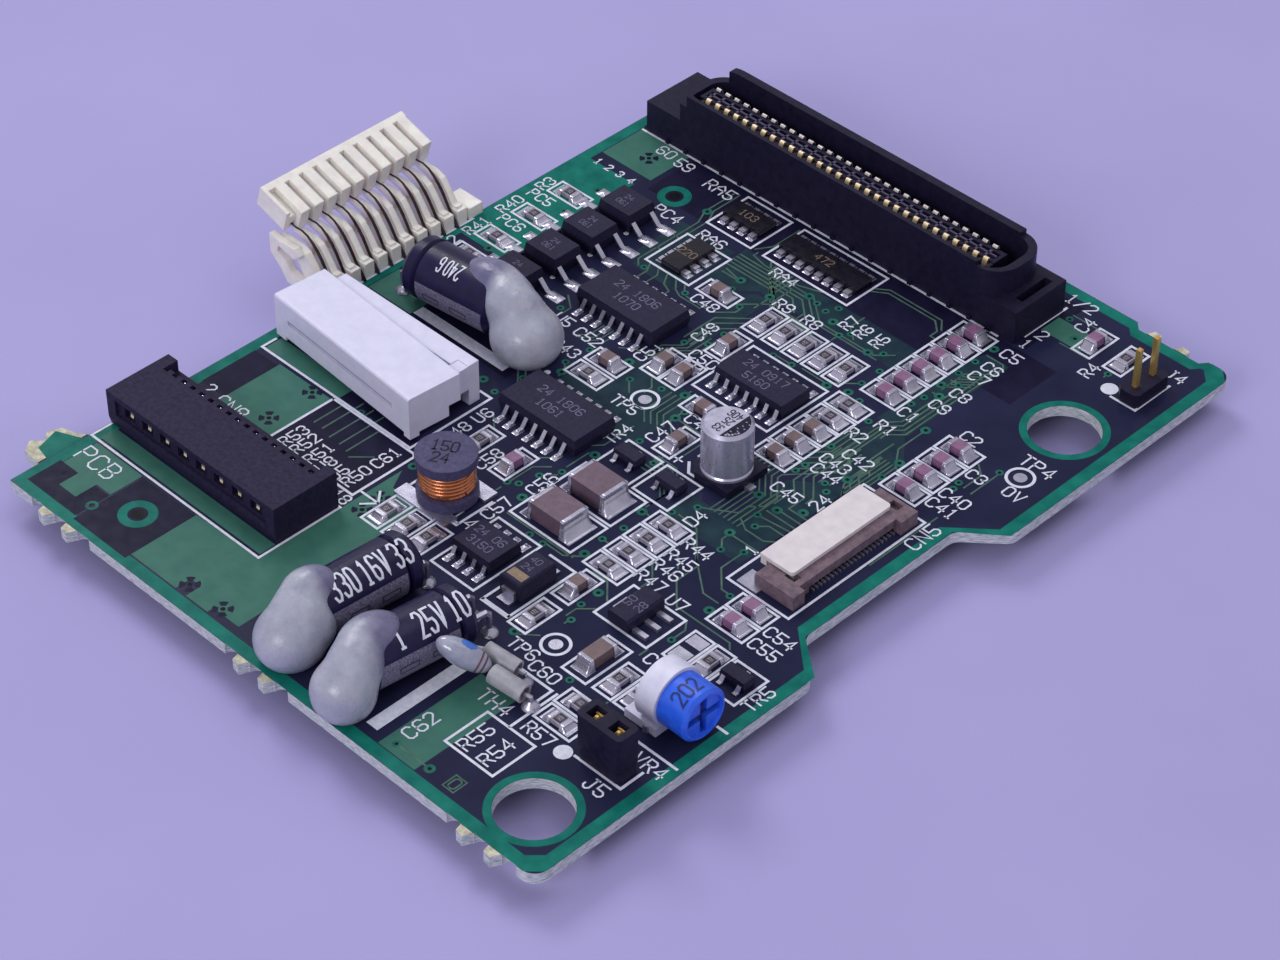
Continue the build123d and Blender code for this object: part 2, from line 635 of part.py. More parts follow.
def edge_connector_housing():
    """The broken-away block: a plate with a rear rail, a cheek and rounded ribs."""
    y0 = EC_FIRST_Y - EC_END
    y1 = EC_LAST_Y + EC_END + EC_RIB_W / 2
    top = EC_LOW + EC_BLOCK_T
    body = block(-EC_BLOCK_X, EC_FRONT, y0, y1, EC_LOW, top - EC_RIB_H)
    body = body + block(-EC_BLOCK_X, -EC_BLOCK_X + EC_BACK, y0, y1, EC_LOW, top)
    body = body + block(-EC_BLOCK_X, EC_FRONT, y0, y0 + EC_CHEEK, EC_LOW, top)
    half = EC_RIB_W / 2
    ribs = [block(-EC_BLOCK_X, EC_RIB_OUT, y - half, y + half, EC_LOW, top)
            for y in spaced(EC_FIRST_Y + EC_PITCH / 2, EC_PITCH, EC_WAYS)]
    deep, wide, tall = EC_SLOT
    openings = [block(-deep, OVER, y - wide / 2, y + wide / 2, -tall / 2, tall / 2)
                for y in spaced(EC_FIRST_Y, EC_PITCH, EC_WAYS)]
    return tilted() * (body + ribs - openings)


def side_block(sizes, y0, y1):
    """A box whose x and z limits come from a table row."""
    x0, x1, z0, z1 = sizes
    return block(x0, x1, y0, y1, z0, z1)


def edge_connector_base():
    """The comb of thin webs and posts that stood under the block, with its end pieces."""
    ys = spaced(EC_FIRST_Y - EC_PITCH / 2, EC_PITCH, EC_WAYS + 1)
    half = EC_WEB_T / 2
    comb = [side_profile(EC_WEB, y - half, y + half) for y in ys]
    comb = comb[0] + comb[1:]
    comb = comb - [side_block(EC_WINDOW, y - EC_WEB_T, y + EC_WEB_T) for y in ys[1:]]
    wide = EC_POST_W / 2
    comb = comb + [side_block(EC_POST, y - wide, y + wide) for y in ys]
    comb = comb + side_block(EC_SILL, ys[0] - half, ys[-1] + EC_EAR_Y[0] + OVER)
    comb = comb + side_block(EC_EAR, ys[-1] + EC_EAR_Y[0], ys[-1] + EC_EAR_Y[1])
    arm_y0, arm_y1 = ys[0] - EC_ARM_Y[0], ys[0] - EC_ARM_Y[1]
    return comb + side_profile(EC_SIDE_ARM, arm_y0, arm_y1) + side_block(EC_ARM_FOOT, arm_y0, ys[0])


def edge_connector_leads():
    outline = trace(Polyline(*EC_LEAD_RUN, (EC_LEAD_X, TAIL_Z)), EC_LEAD_T)
    lead = extrude(Plane.XZ * outline, EC_LEAD_W)
    return group([Pos(0, y + EC_LEAD_W / 2, 0) * lead for x, y in edge_connector_tails()])


# ---------------------------------------------------------------- power connector
def slider_frame():
    """The slider sits a little askew on the housing."""
    return Pos(*PC_SLIDER_CORNER, 0) * Rot(0, 0, PC_SLIDER_ANGLE)


def power_connector_slider():
    """A cap open at the back, with a groove along its front and notched side walls."""
    top, foot, wall = PC_SLIDER_TOP, PC_SLIDER_FOOT, PC_SLIDER_WALL
    length, width = PC_SLIDER_L, PC_SLIDER_W
    body = block(0, length, 0, width, foot, top)
    body = body - block(wall, length - wall, wall, width + OVER, -OVER, PC_TOP)
    left, right = PC_SLIDER_CUTS
    body = body - block(-OVER, wall + 0.1, width - left, width + OVER, -OVER, PC_TOP)
    body = body - block(length - wall - 0.1, length + OVER, width - right, width + OVER, -OVER, PC_CHEEK[0])
    front_edge = body.edges().filter_by(Axis.X).group_by(Axis.Z)[-1].sort_by(Axis.Y)[0]
    body = fillet(front_edge, PC_SLIDER_R)
    start, end, deep, low, high = PC_GROOVE
    body = body - block(start, length - end, -OVER, deep, low, high)
    body = body - block(wall + 0.6, length + OVER, -OVER, width + OVER, -OVER, foot + PC_SLIDER_LUG)
    corner = block(length - wall, length, 0, wall + 0.2, foot, foot + PC_SLIDER_LUG + 0.05)
    return slider_frame() * (body + corner)


def power_connector_housing():
    """The fixed body: a rear wall on two feet and a tongue that the slider covers."""
    face = Plane.YZ * make_face(Polyline(*PC_PROFILE, close=True))
    left, right = PC_TONGUE_IN
    body = Pos(PC_X0 + left, PC_Y1, 0) * extrude(face, PC_X1 - right - PC_X0 - left)
    body = body + block(PC_X0, PC_X1, PC_Y1 - PC_REAR_Y, PC_Y1, PC_FOOT_H, PC_TOP - 0.05)
    for x in (PC_X0, PC_X1 - PC_FOOT):
        body = body + block(x, x + PC_FOOT, PC_Y1 - PC_REAR_Y, PC_Y1, 0, PC_FOOT_H + 0.1)
    low, under, deep = PC_CHEEK
    rear_y = PC_Y1 - PC_REAR_Y
    body = body + block(PC_X1 - right, PC_X1, rear_y - deep, rear_y, low, PC_TOP - under)
    drill = PIN + 2 * HOUSING_GAP
    return body - [slab(x, y, drill, drill, 0, PC_PIN_TOP + 0.1) for x, y in power_connector_tails()]


def power_connector_pins():
    return group([tail(x, y, PIN / 2, PC_PIN_TOP) for x, y in power_connector_tails()])


# ---------------------------------------------------------------- flat cable socket
def flat_cable_contacts_y():
    middle = (FC_Y0 + FC_Y1) / 2 + 0.3
    return spaced(middle - FC_PITCH * (FC_WAYS - 1) / 2, FC_PITCH, FC_WAYS)


def flat_cable_body():
    """The low housing, open in front for the cable, with raised ends and a relieved foot."""
    ys = flat_cable_contacts_y()
    row = (ys[0] - FC_ROW_END, ys[-1] + FC_ROW_END)
    front_end, rear_end = FC_END_Y
    body = block(FC_X0, FC_X1, FC_Y0, FC_Y1, 0, FC_H)
    body = body + block(FC_X0, FC_END_X, FC_Y0, FC_Y0 + front_end, 0, FC_H)
    body = body + block(FC_X0, FC_END_X, FC_Y1 - rear_end, FC_Y1, 0, FC_H)
    back, side, floor = FC_MOUTH
    mouth = block(FC_X0 - OVER, FC_X1 - back, FC_LOCK_Y0 + side, FC_LOCK_Y1 - side, floor, FC_H + OVER)
    back, floor, ceiling = FC_THROAT
    throat = block(FC_X0 - OVER, FC_X1 - back, *row, floor, ceiling)
    deep, tall = FC_REAR
    rear = block(FC_X1 - deep, FC_X1 + OVER, *row, -OVER, tall)
    comb = block(FC_X0 - OVER, FC_X1 + OVER, ys[0] - 0.2, ys[-1] + 0.2, -OVER, FC_COMB_H)
    x0, x1, size = FC_POCKET
    pockets = [block(FC_X1 - x0, FC_X1 - x1, y, y + size, size, FC_H + OVER)
               for y in (FC_Y0 + front_end + 0.1, FC_Y1 - 1.3)]
    return body - mouth - throat - rear - comb - pockets


def flat_cable_lock():
    """The sliding lock: a flat cover over the mouth with a tongue that wedges the cable."""
    y0, y1 = FC_LOCK_Y0, FC_LOCK_Y1
    grip_x = FC_LOCK_X0 + FC_LOCK_GRIP
    under = FC_H + 0.1
    cover = block(FC_LOCK_X0, FC_LOCK_X1, y0, y1, FC_H + HOUSING_GAP, FC_LOCK_TOP)
    corners = cover.edges().filter_by(Axis.Z).group_by(Axis.X)[-1]
    cover = fillet(corners, FC_LOCK_R)
    tongue = block(grip_x, FC_X1 - FC_TONGUE_END, y0 + 0.45, y1 - 0.45, 0.65, under)
    grip = block(FC_LOCK_X0, grip_x, y0 + 0.1, y1 - 0.1, 0.75, under)
    return cover + tongue + grip


def flat_cable_contacts():
    front, rear = FC_CONTACT_OUT
    width, height = FC_CONTACT
    x0, x1 = FC_X0 - front, FC_X1 + rear
    return group([block(x0, x1, y - width / 2, y + width / 2, 0, height) for y in flat_cable_contacts_y()])


def flat_cable_anchors():
    """The soldered metal tabs at the two ends of the socket."""
    out = FC_X0 - FC_ANCHOR_OUT
    front = block(out, FC_X0 + 0.9, FC_Y0 - 0.75, FC_Y0, 0, 0.2)
    front = front + block(out, FC_X0, FC_Y0 - 0.75, FC_Y0 + 1.3, 0, 0.2)
    front = front + block(FC_X0 - 0.2, FC_X0, FC_Y0 + 0.1, FC_Y0 + 1.3, 0, 1.1)
    rear = block(FC_X0 - 0.2, FC_X0 + 0.9, FC_Y1, FC_Y1 + 0.2, 0, 1.0)
    rear = rear + block(FC_X0 - 0.6, FC_X0 + 0.9, FC_Y1, FC_Y1 + 0.55, 0, 0.2)
    return group([front, rear])


# ---------------------------------------------------------------- pin headers
def header_base(centre, turned):
    length, width = (HEADER_W, HEADER_L) if turned else (HEADER_L, HEADER_W)
    x, y = centre
    base = slab(x, y, length, width, 0, HEADER_H)
    uprights = base.edges().filter_by(Axis.Z)
    base = chamfer(uprights, HEADER_CHAMFER)
    return base - [slab(px, py, PIN, PIN, -OVER, HEADER_H + OVER) for px, py in header_tails(centre, turned)]


def header_pins(centre, turned, top):
    pins = []
    for x, y in header_tails(centre, turned):
        pin = tail(x, y, PIN / 2, top)
        pin = chamfer(pin.faces().sort_by(Axis.Z)[-1].edges(), PIN_CHAMFER)
        pins.append(pin)
    return group(pins)


def shunt_shell():
    x, y = HEADER_B
    z0 = HEADER_H + SHUNT_GAP
    body = slab(x, y, HEADER_L + 0.2, HEADER_W + 0.1, z0, z0 + SHUNT_H)
    body = chamfer(body.edges().filter_by(Axis.Z), SHUNT_CHAMFER)
    for px, py in header_tails(HEADER_B, False):
        body = body - slab(px, py, SHUNT_WELL, SHUNT_WELL, z0 - OVER, z0 + SHUNT_H + OVER)
    width, low, high = SHUNT_BRIDGE
    return body - slab(x, y, PIN_PITCH, width, z0 + low, z0 + high)


def shunt_clip():
    """The sprung bridge inside the shunt that joins the two pins."""
    x, y = HEADER_B
    z0 = HEADER_H + SHUNT_GAP
    width, low, high = CLIP_BAR
    clip = slab(x, y, PIN_PITCH - PIN - 2 * CLIP_GAP, width, z0 + low, z0 + high)
    out = PIN / 2 + CLIP_GAP + CLIP_T / 2
    for side in (-out, out):
        for px, py in header_tails(HEADER_B, False):
            clip = clip + slab(px, py + side, CLIP_W, CLIP_T, z0 + CLIP_END, z0 + SHUNT_H - CLIP_END)
        clip = clip + slab(x, y + side, PIN_PITCH, CLIP_T / 2, z0 + low, z0 + high)
    return clip


# ---------------------------------------------------------------- trimmer
def along_x(shape):
    """Turns a shape drawn on +Z to point along +X on the trimmer's axis."""
    return Pos(VR_X0, VR_Y, VR_Z) * Rot(0, 90, 0) * shape


def trimmer_case():
    """The fixed ring, flat underneath, on its seat and terminal block."""
    drum = Pos(0, 0, VR_CASE_L / 2) * Cylinder(VR_R, VR_CASE_L)
    bore = Pos(0, 0, VR_CASE_L - 0.6) * Cylinder(VR_SHAFT_R + VR_GAP, 1.4)
    body = along_x(drum - bore)
    x_back = VR_X0 - VR_SEAT
    x_face = VR_X0 + VR_CASE_L
    body = body - block(x_back, x_face + OVER, VR_Y - VR_R, VR_Y + VR_R, -OVER, VR_FLAT)
    body = body + slab((x_back + x_face) / 2, VR_Y, x_face - x_back, VR_SEAT_W, 0, VR_SEAT_H)
    body = body + slab((x_back + VR_X0) / 2, VR_Y, VR_SEAT, VR_BACK[0], 0, VR_BACK[1])
    return body - [slab(x, y, PIN, PIN, -OVER, VR_PIN_TOP) for x, y in trimmer_tails()]


def trimmer_rotor():
    """The drum that turns: a dished face with a cross slot, on a short shaft."""
    z0 = VR_CASE_L + VR_GAP
    face = z0 + VR_ROTOR_L
    drum = Pos(0, 0, z0 + VR_ROTOR_L / 2) * Cylinder(VR_ROTOR_R, VR_ROTOR_L)
    drum = chamfer(drum.edges().filter_by(GeomType.CIRCLE).sort_by(Axis.Z)[-1], VR_BEVEL)
    shaft = Pos(0, 0, z0 - 0.5) * Cylinder(VR_SHAFT_R, 1.1)
    long, wide, deep = VR_CROSS
    slot = Pos(0, 0, face) * Box(wide, long, deep)
    cross = Pos(0, 0, face) * Box(long, wide, deep)
    dish = Pos(0, 0, face) * Cylinder(*VR_DISH)
    return along_x(drum + shaft - slot - cross - dish)


def trimmer_terminals():
    return group([tail(x, y, PIN / 2, VR_PIN_TOP) for x, y in trimmer_tails()])


# ---------------------------------------------------------------- lying capacitors
def can_place(can):
    x, y, radius, length, turn, reach = can
    return Pos(x, y, radius) * Rot(0, 0, turn)


def lying_can(can):
    """A radial electrolytic laid on its side: rounded ends with a crimped ring."""
    radius, length = can[2], can[3]
    crimp, half, deep = CAN_CRIMP
    outline = [
        (0, 0), (radius - CAN_EDGE, 0), (radius, CAN_EDGE), (radius, crimp - half),
        (radius - deep, crimp), (radius, crimp + half), (radius, length - CAN_EDGE),
        (radius - CAN_EDGE, length), (0, length),
    ]
    body = revolve(Plane.XZ * make_face(Polyline(*outline, close=True)), Axis.Z)
    return can_place(can) * (Rot(90, 0, 0) * body)


def wire(points, radius):
    """A wire of hexagonal section along straight runs, mitred at its bends."""
    path = Polyline(*points)
    section = Plane(origin=path @ 0, z_dir=path % 0) * RegularPolygon(radius, 6)
    return sweep(section, path=path, transition=Transition.RIGHT)


def can_wires(can):
    """The two wires that leave the bung, bend down and pass through the board."""
    z0 = CAN_LEAD_RISE - can[2]
    reach = can[5]
    pieces = []
    for side in (-1, 1):
        x = side * CAN_LEAD_PITCH / 2
        points = [(x, 0, z0), (x, reach - CAN_LEAD_BEND, z0), (x, reach, z0 - CAN_LEAD_BEND),
                  (x, reach, TAIL_Z - can[2])]
        pieces.append(can_place(can) * wire(points, CAN_LEAD_R))
    return pieces


def can_leads():
    return group(can_wires(CAN_FRONT) + can_wires(CAN_MIDDLE) + can_wires(CAN_REAR))


def glue(lumps, cans):
    """A set drop of hot-melt glue: rounded lumps run together, flat where they sit."""
    blobs = []
    for x, y, z, a, b, c, turn in lumps:
        blobs.append(Pos(x, y, z) * Rot(0, 0, turn) * scale(Sphere(1), by=(a, b, c)))
    body = blobs[0] + blobs[1:]
    body = body - slab(BOARD_X / 2, BOARD_Y / 2, 2 * BOARD_X, 2 * BOARD_Y, -CAN_REAR[3], 0)
    for can in cans:
        sleeve = Pos(0, 0, can[3] / 2) * Cylinder(can[2] + GLUE_GAP, can[3])
        body = body - can_place(can) * (Rot(90, 0, 0) * sleeve)
    return max(body.solids(), key=lambda solid: solid.volume)


# ---------------------------------------------------------------- standing parts
def surface_can():
    x, y = SC_CENTRE
    outline = [
        (0, SC_BASE_H), (SC_R, SC_BASE_H), (SC_R, SC_BASE_H + 0.25), (SC_R - 0.12, SC_BASE_H + 0.4),
        (SC_R, SC_BASE_H + 0.6), (SC_R, SC_TOP - SC_EDGE), (SC_R - SC_EDGE, SC_TOP), (0, SC_TOP),
    ]
    return Pos(x, y, 0) * revolve(Plane.XZ * make_face(Polyline(*outline, close=True)), Axis.Z)


def surface_can_base():
    """The moulded base plate, with two corners cut at its positive end."""
    x, y = SC_CENTRE
    half = SC_BASE / 2
    outline = [(-half + SC_CUT, -half), (half, -half), (half, half), (-half, half), (-half, -half + SC_CUT)]
    plate = extrude(make_face(Polyline(*outline, close=True)), SC_BASE_H - SC_STAND)
    return Pos(x, y, SC_STAND) * plate - slab(x, y, SC_BASE + 1, 1.0, -OVER, 0.35)


def surface_can_terminals():
    x, y = SC_CENTRE
    inner, out, width, height = SC_TAB
    reach = SC_BASE / 2 + out
    middle = (inner + reach) / 2
    return group([slab(x + side * middle, y, reach - inner, width, 0, height) for side in (-1, 1)])


def inductor_core():
    x, y = IND_CENTRE
    low, top, disc = IND_STAND, IND_TOP, IND_DISC
    outline = [(0, low), (IND_R, low), (IND_R, low + disc), (IND_CORE_R, low + disc),
               (IND_CORE_R, top - disc), (IND_R, top - disc), (IND_R, top), (0, top)]
    return Pos(x, y, 0) * revolve(Plane.XZ * make_face(Polyline(*outline, close=True)), Axis.Z)


def inductor_winding():
    """The coil between the two discs, its outside rippled by the turns."""
    x, y = IND_CENTRE
    z0 = IND_STAND + IND_DISC
    z1 = IND_TOP - IND_DISC
    pitch = (z1 - z0) / IND_TURNS
    radius = IND_R - IND_WIRE_IN
    points = [(IND_CORE_R, z0)]
    for z in spaced(z0, pitch, IND_TURNS):
        points += [(radius, z), (radius + IND_WIRE_BULGE, z + pitch / 2)]
    points += [(radius, z1), (IND_CORE_R, z1)]
    return Pos(x, y, 0) * revolve(Plane.XZ * make_face(Polyline(*points, close=True)), Axis.Z)


def inductor_terminals():
    x, y = IND_CENTRE
    return group([slab(x - 0.3, y + side * IND_FOOT_OUT, *IND_FOOT, 0, IND_STAND) for side in (-1, 1)])


# ---------------------------------------------------------------- thermistor
def thermistor_bead():
    """The glass bead leans on the middle capacitor."""
    tip, root = Vector(*BEAD_TIP), Vector(*BEAD_ROOT)
    half = (root - tip).length / 2
    place = Plane(origin=(tip + root) * 0.5, z_dir=(root - tip).normalized())
    return place * scale(Sphere(1), by=(BEAD_R, BEAD_R, half))


def thermistor_leads():
    """The first wire leaves the bead's end, the second its side, and both turn down at the far end."""
    pieces = []
    for start, place, rise in zip(SLEEVE_STARTS, THERMISTOR_TAILS, WIRE_STARTS):
        out = tuple(a + b for a, b in zip(start, rise))
        pieces.append(wire([out, start, (*place, SLEEVE_LOW), (*place, TAIL_Z)], WIRE_R))
    return group(pieces)


def thermistor_sleeves():
    pieces = []
    for start, place in zip(SLEEVE_STARTS, THERMISTOR_TAILS):
        a, end = Vector(*start), Vector(*place, SLEEVE_LOW)
        axis = (end - a).normalized()
        ring = Plane(origin=a + axis * 0.1, z_dir=axis) * (Circle(SLEEVE_R) - Circle(SLEEVE_R - SLEEVE_WALL))
        pieces.append(extrude(ring, (end - a).length - SLEEVE_SHORT))
    return group(pieces)


# ---------------------------------------------------------------- leaded surface parts
def package_body(size, x, y, turn=0):
    """A moulded package: sides drawn in towards top and bottom from the lead plane."""
    length, width, height, stand = size["length"], size["width"], size["height"], size["stand"]
    mid = stand + (height - stand) * 0.5
    slant = DRAFT * height
    waist = Pos(0, 0, mid) * Rectangle(length, width)
    top = Pos(0, 0, height) * Rectangle(length - 2 * slant, width - 2 * slant)
    foot = Pos(0, 0, stand) * Rectangle(length - 2 * slant, width - 2 * slant)
    body = loft([foot.face(), waist.face(), top.face()], ruled=True)
    return Pos(x, y, 0) * Rot(0, 0, turn) * body


def gull_lead(size, width, foot):
    """One gull-wing lead pointing along +Y, drawn about the package's centre."""
    t = STRIP_T
    mid = size["stand"] + (size["height"] - size["stand"]) * 0.5
    y0 = size["width"] / 2
    y1 = size["span"] / 2
    knee = y1 - foot
    outline = [(y0, mid - t / 2), (knee, 0), (y1, 0), (y1, t), (knee + t / 2, t), (y0, mid + t / 2)]
    face = Plane.YZ * make_face(Polyline(*outline, close=True))
    return Pos(-width / 2, 0, 0) * extrude(face, width)


def package_leads(size, x, y, xs_near, xs_far, width, foot, turn=0):
    lead = gull_lead(size, width, foot)
    place = Pos(x, y, 0) * Rot(0, 0, turn)
    pieces = [place * Pos(px, 0, 0) * lead for px in xs_far]
    pieces += [place * Rot(0, 0, 180) * Pos(-px, 0, 0) * lead for px in xs_near]
    return pieces


def even(count, pitch):
    return spaced(-pitch * (count - 1) / 2, pitch, count)


def chip_leads(size, place, count):
    xs = even(count, SOP_PITCH)
    return group(package_leads(size, *place, xs, xs, SOP_LEAD_W, SOP_FOOT))


def optocoupler_bodies():
    return group([package_body(OPTO, OPTO_X, y, 90) for y in OPTO_Y])


def optocoupler_leads():
    xs = even(2, OPTO_PITCH)
    pieces = []
    for y in OPTO_Y:
        pieces += package_leads(OPTO, OPTO_X, y, xs, xs, OPTO_LEAD_W, OPTO_FOOT, 90)
    return group(pieces)


def transistor_bodies():
    return group([package_body(TRANSISTOR, x, y) for x, y in TRANSISTORS])


def regulator_body():
    x, y = REGULATOR
    width, length, height = REGULATOR_SIZE
    body = slab(x, y, width, length, REGULATOR_STAND, height)
    return chamfer(body.edges().filter_by(Axis.Y).group_by(Axis.Z)[-1], REGULATOR_BEVEL)


def diode_body():
    x, y = DIODE
    width, length, height = DIODE_SIZE
    body = slab(x, y, width, length, DIODE_STAND, height)
    return chamfer(body.faces().sort_by(Axis.Z)[-1].edges(), DIODE_BEVEL)


def regulator_leads():
    x, y = REGULATOR
    half = REGULATOR_SIZE[0] / 2
    out, width, height = REGULATOR_LEAD
    tab_out, tab_w = REGULATOR_TAB
    legs = [slab(x + half + out / 2, y + dy, out, width, 0, height) for dy in even(3, REGULATOR_PITCH)]
    return legs + [slab(x - half - tab_out / 2, y, tab_out, tab_w, 0, height)]


def diode_leads():
    """A strip down each end of the rectifier that turns outwards at its foot."""
    x, y = DIODE
    width, out, thick, wall, rise = DIODE_LEAD
    pieces = []
    for side in (-1, 1):
        end = y + side * DIODE_SIZE[1] / 2
        foot = slab(x, end + side * out / 2, width, out, 0, thick)
        pieces.append(foot + slab(x, end + side * wall / 2, width, wall, 0, rise))
    return pieces


def small_package_leads():
    """Leads of the three-legged parts, the regulator and the rectifier."""
    pieces = []
    for x, y in TRANSISTORS:
        pieces += package_leads(TRANSISTOR, x, y, even(2, TRANSISTOR_PITCH), [0], *TRANSISTOR_LEAD)
    return group(pieces + regulator_leads() + diode_leads())


# ---------------------------------------------------------------- chip parts
def resistor_places():
    places = list(RESISTORS)
    places += [(x, RES_ROW_Y, True) for x in RES_ROW_X]
    places += [(RES_COLUMN_X, y, False) for y in RES_COLUMN_Y]
    return places


def capacitor_places():
    places = list(CAPACITORS)
    places += [(CAP_COLUMN_X, y, False) for y in CAP_COLUMN_Y]
    places += [(CAP_COLUMN_B_X, y, False) for y in CAP_COLUMN_B_Y]
    return places


def chip_body(length, width, height, x, y, turned):
    body = slab(0, 0, length - 2 * CHIP_END, width, CHIP_STAND, height)
    return Pos(x, y, 0) * Rot(0, 0, 90 if turned else 0) * body


def chip_ends(length, width, height, x, y, turned):
    """The two metal end caps."""
    half = length / 2
    cap = block(half - CHIP_END, half, -width / 2, width / 2, 0, height)
    place = Pos(x, y, 0) * Rot(0, 0, 90 if turned else 0)
    return [place * cap, place * Rot(0, 0, 180) * cap]


def chip_resistors():
    return group([chip_body(CHIP_L, CHIP_W, RES_H, *place) for place in resistor_places()])


def chip_capacitors():
    pieces = [chip_body(CHIP_L, CHIP_W, CAP_H, *place) for place in capacitor_places()]
    pieces += [chip_body(BIG_L, BIG_W, BIG_H, *place, False) for place in BIG_CAPACITORS]
    pieces.append(chip_body(MID_L, MID_W, MID_H, *MID_CAPACITOR, True))
    return group(pieces)


def chip_end_caps():
    pieces = []
    for place in resistor_places():
        pieces += chip_ends(CHIP_L, CHIP_W, RES_H, *place)
    for place in capacitor_places():
        pieces += chip_ends(CHIP_L, CHIP_W, CAP_H, *place)
    for place in BIG_CAPACITORS:
        pieces += chip_ends(BIG_L, BIG_W, BIG_H, *place, False)
    pieces += chip_ends(MID_L, MID_W, MID_H, *MID_CAPACITOR, True)
    return group(pieces)


def resistor_networks():
    pieces = []
    for x, y, ways, turned in NETWORKS:
        length = NETWORK_PITCH * ways
        body = slab(0, 0, length, NETWORK_W, CHIP_STAND, NETWORK_H)
        pieces.append(Pos(x, y, 0) * Rot(0, 0, 90 if turned else 0) * body)
    return group(pieces)


def resistor_network_ends():
    pieces = []
    width, height = NETWORK_PAD
    out = (NETWORK_W + NETWORK_END) / 2
    for x, y, ways, turned in NETWORKS:
        place = Pos(x, y, 0) * Rot(0, 0, 90 if turned else 0)
        for dx in even(ways, NETWORK_PITCH):
            for side in (-out, out):
                pieces.append(place * slab(dx, side, width, NETWORK_END, 0, height))
    return group(pieces)


def build_nodes():
    return {
        "laminate": laminate(),
        "board_connector_housing": board_connector_housing(),
        "board_connector_front_contacts": board_connector_contacts(True),
        "board_connector_rear_contacts": board_connector_contacts(False),
        "signal_socket_housing": signal_socket_housing(),
        "signal_socket_contacts": signal_socket_contacts(),
        "edge_connector_housing": edge_connector_housing(),
        "edge_connector_base": edge_connector_base(),
        "edge_connector_leads": edge_connector_leads(),
        "power_connector_housing": power_connector_housing(),
        "power_connector_slider": power_connector_slider(),
        "power_connector_pins": power_connector_pins(),
        "flat_cable_socket_body": flat_cable_body(),
        "flat_cable_lock": flat_cable_lock(),
        "flat_cable_contacts": flat_cable_contacts(),
        "flat_cable_anchor_tabs": flat_cable_anchors(),
        "pin_header_base": header_base(HEADER_A, True),
        "pin_header_pins": header_pins(HEADER_A, True, HEADER_A_TOP),
        "jumper_header_base": header_base(HEADER_B, False),
        "jumper_header_pins": header_pins(HEADER_B, False, HEADER_B_TOP),
        "jumper_shunt_shell": shunt_shell(),
        "jumper_shunt_clip": shunt_clip(),
        "trimmer_case": trimmer_case(),
        "trimmer_rotor": trimmer_rotor(),
        "trimmer_terminals": trimmer_terminals(),
        "front_electrolytic_can": lying_can(CAN_FRONT),
        "middle_electrolytic_can": lying_can(CAN_MIDDLE),
        "rear_electrolytic_can": lying_can(CAN_REAR),
        "electrolytic_leads": can_leads(),
        "front_glue": glue(GLUE_FRONT, [CAN_FRONT, CAN_MIDDLE]),
        "middle_glue": glue(GLUE_MIDDLE, [CAN_MIDDLE]),
        "rear_glue": glue(GLUE_REAR, [CAN_REAR]),
        "surface_capacitor_can": surface_can(),
        "surface_capacitor_base": surface_can_base(),
        "surface_capacitor_terminals": surface_can_terminals(),
        "inductor_core": inductor_core(),
        "inductor_winding": inductor_winding(),
        "inductor_terminals": inductor_terminals(),
        "thermistor_bead": thermistor_bead(),
        "thermistor_sleeves": thermistor_sleeves(),
        "thermistor_leads": thermistor_leads(),
        "rear_logic_chip": package_body(WIDE_SOP, *REAR_LOGIC),
        "rear_logic_chip_leads": chip_leads(WIDE_SOP, REAR_LOGIC, 7),
        "middle_logic_chip": package_body(WIDE_SOP, *MIDDLE_LOGIC),
        "middle_logic_chip_leads": chip_leads(WIDE_SOP, MIDDLE_LOGIC, 7),
        "amplifier_chip": package_body(NARROW_SOP, *AMPLIFIER),
        "amplifier_chip_leads": chip_leads(NARROW_SOP, AMPLIFIER, 7),
        "converter_chip": package_body(SHORT_SOP, *CONVERTER),
        "converter_chip_leads": chip_leads(SHORT_SOP, CONVERTER, 4),
        "regulator_body": regulator_body(),
        "rectifier_body": diode_body(),
        "transistor_bodies": transistor_bodies(),
        "small_package_leads": small_package_leads(),
        "optocoupler_bodies": optocoupler_bodies(),
        "optocoupler_leads": optocoupler_leads(),
        "chip_resistors": chip_resistors(),
        "chip_capacitors": chip_capacitors(),
        "chip_end_caps": chip_end_caps(),
        "resistor_networks": resistor_networks(),
        "resistor_network_ends": resistor_network_ends(),
    }


os.makedirs("parts", exist_ok=True)
to_frame = Pos(-FRONT_HOLE[0], -FRONT_HOLE[1], 0)
for name, shape in build_nodes().items():
    export_step(to_frame * shape, os.path.join("parts", name + ".step"))
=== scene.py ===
import math

import bmesh
import bpy
from mathutils import Matrix, Vector


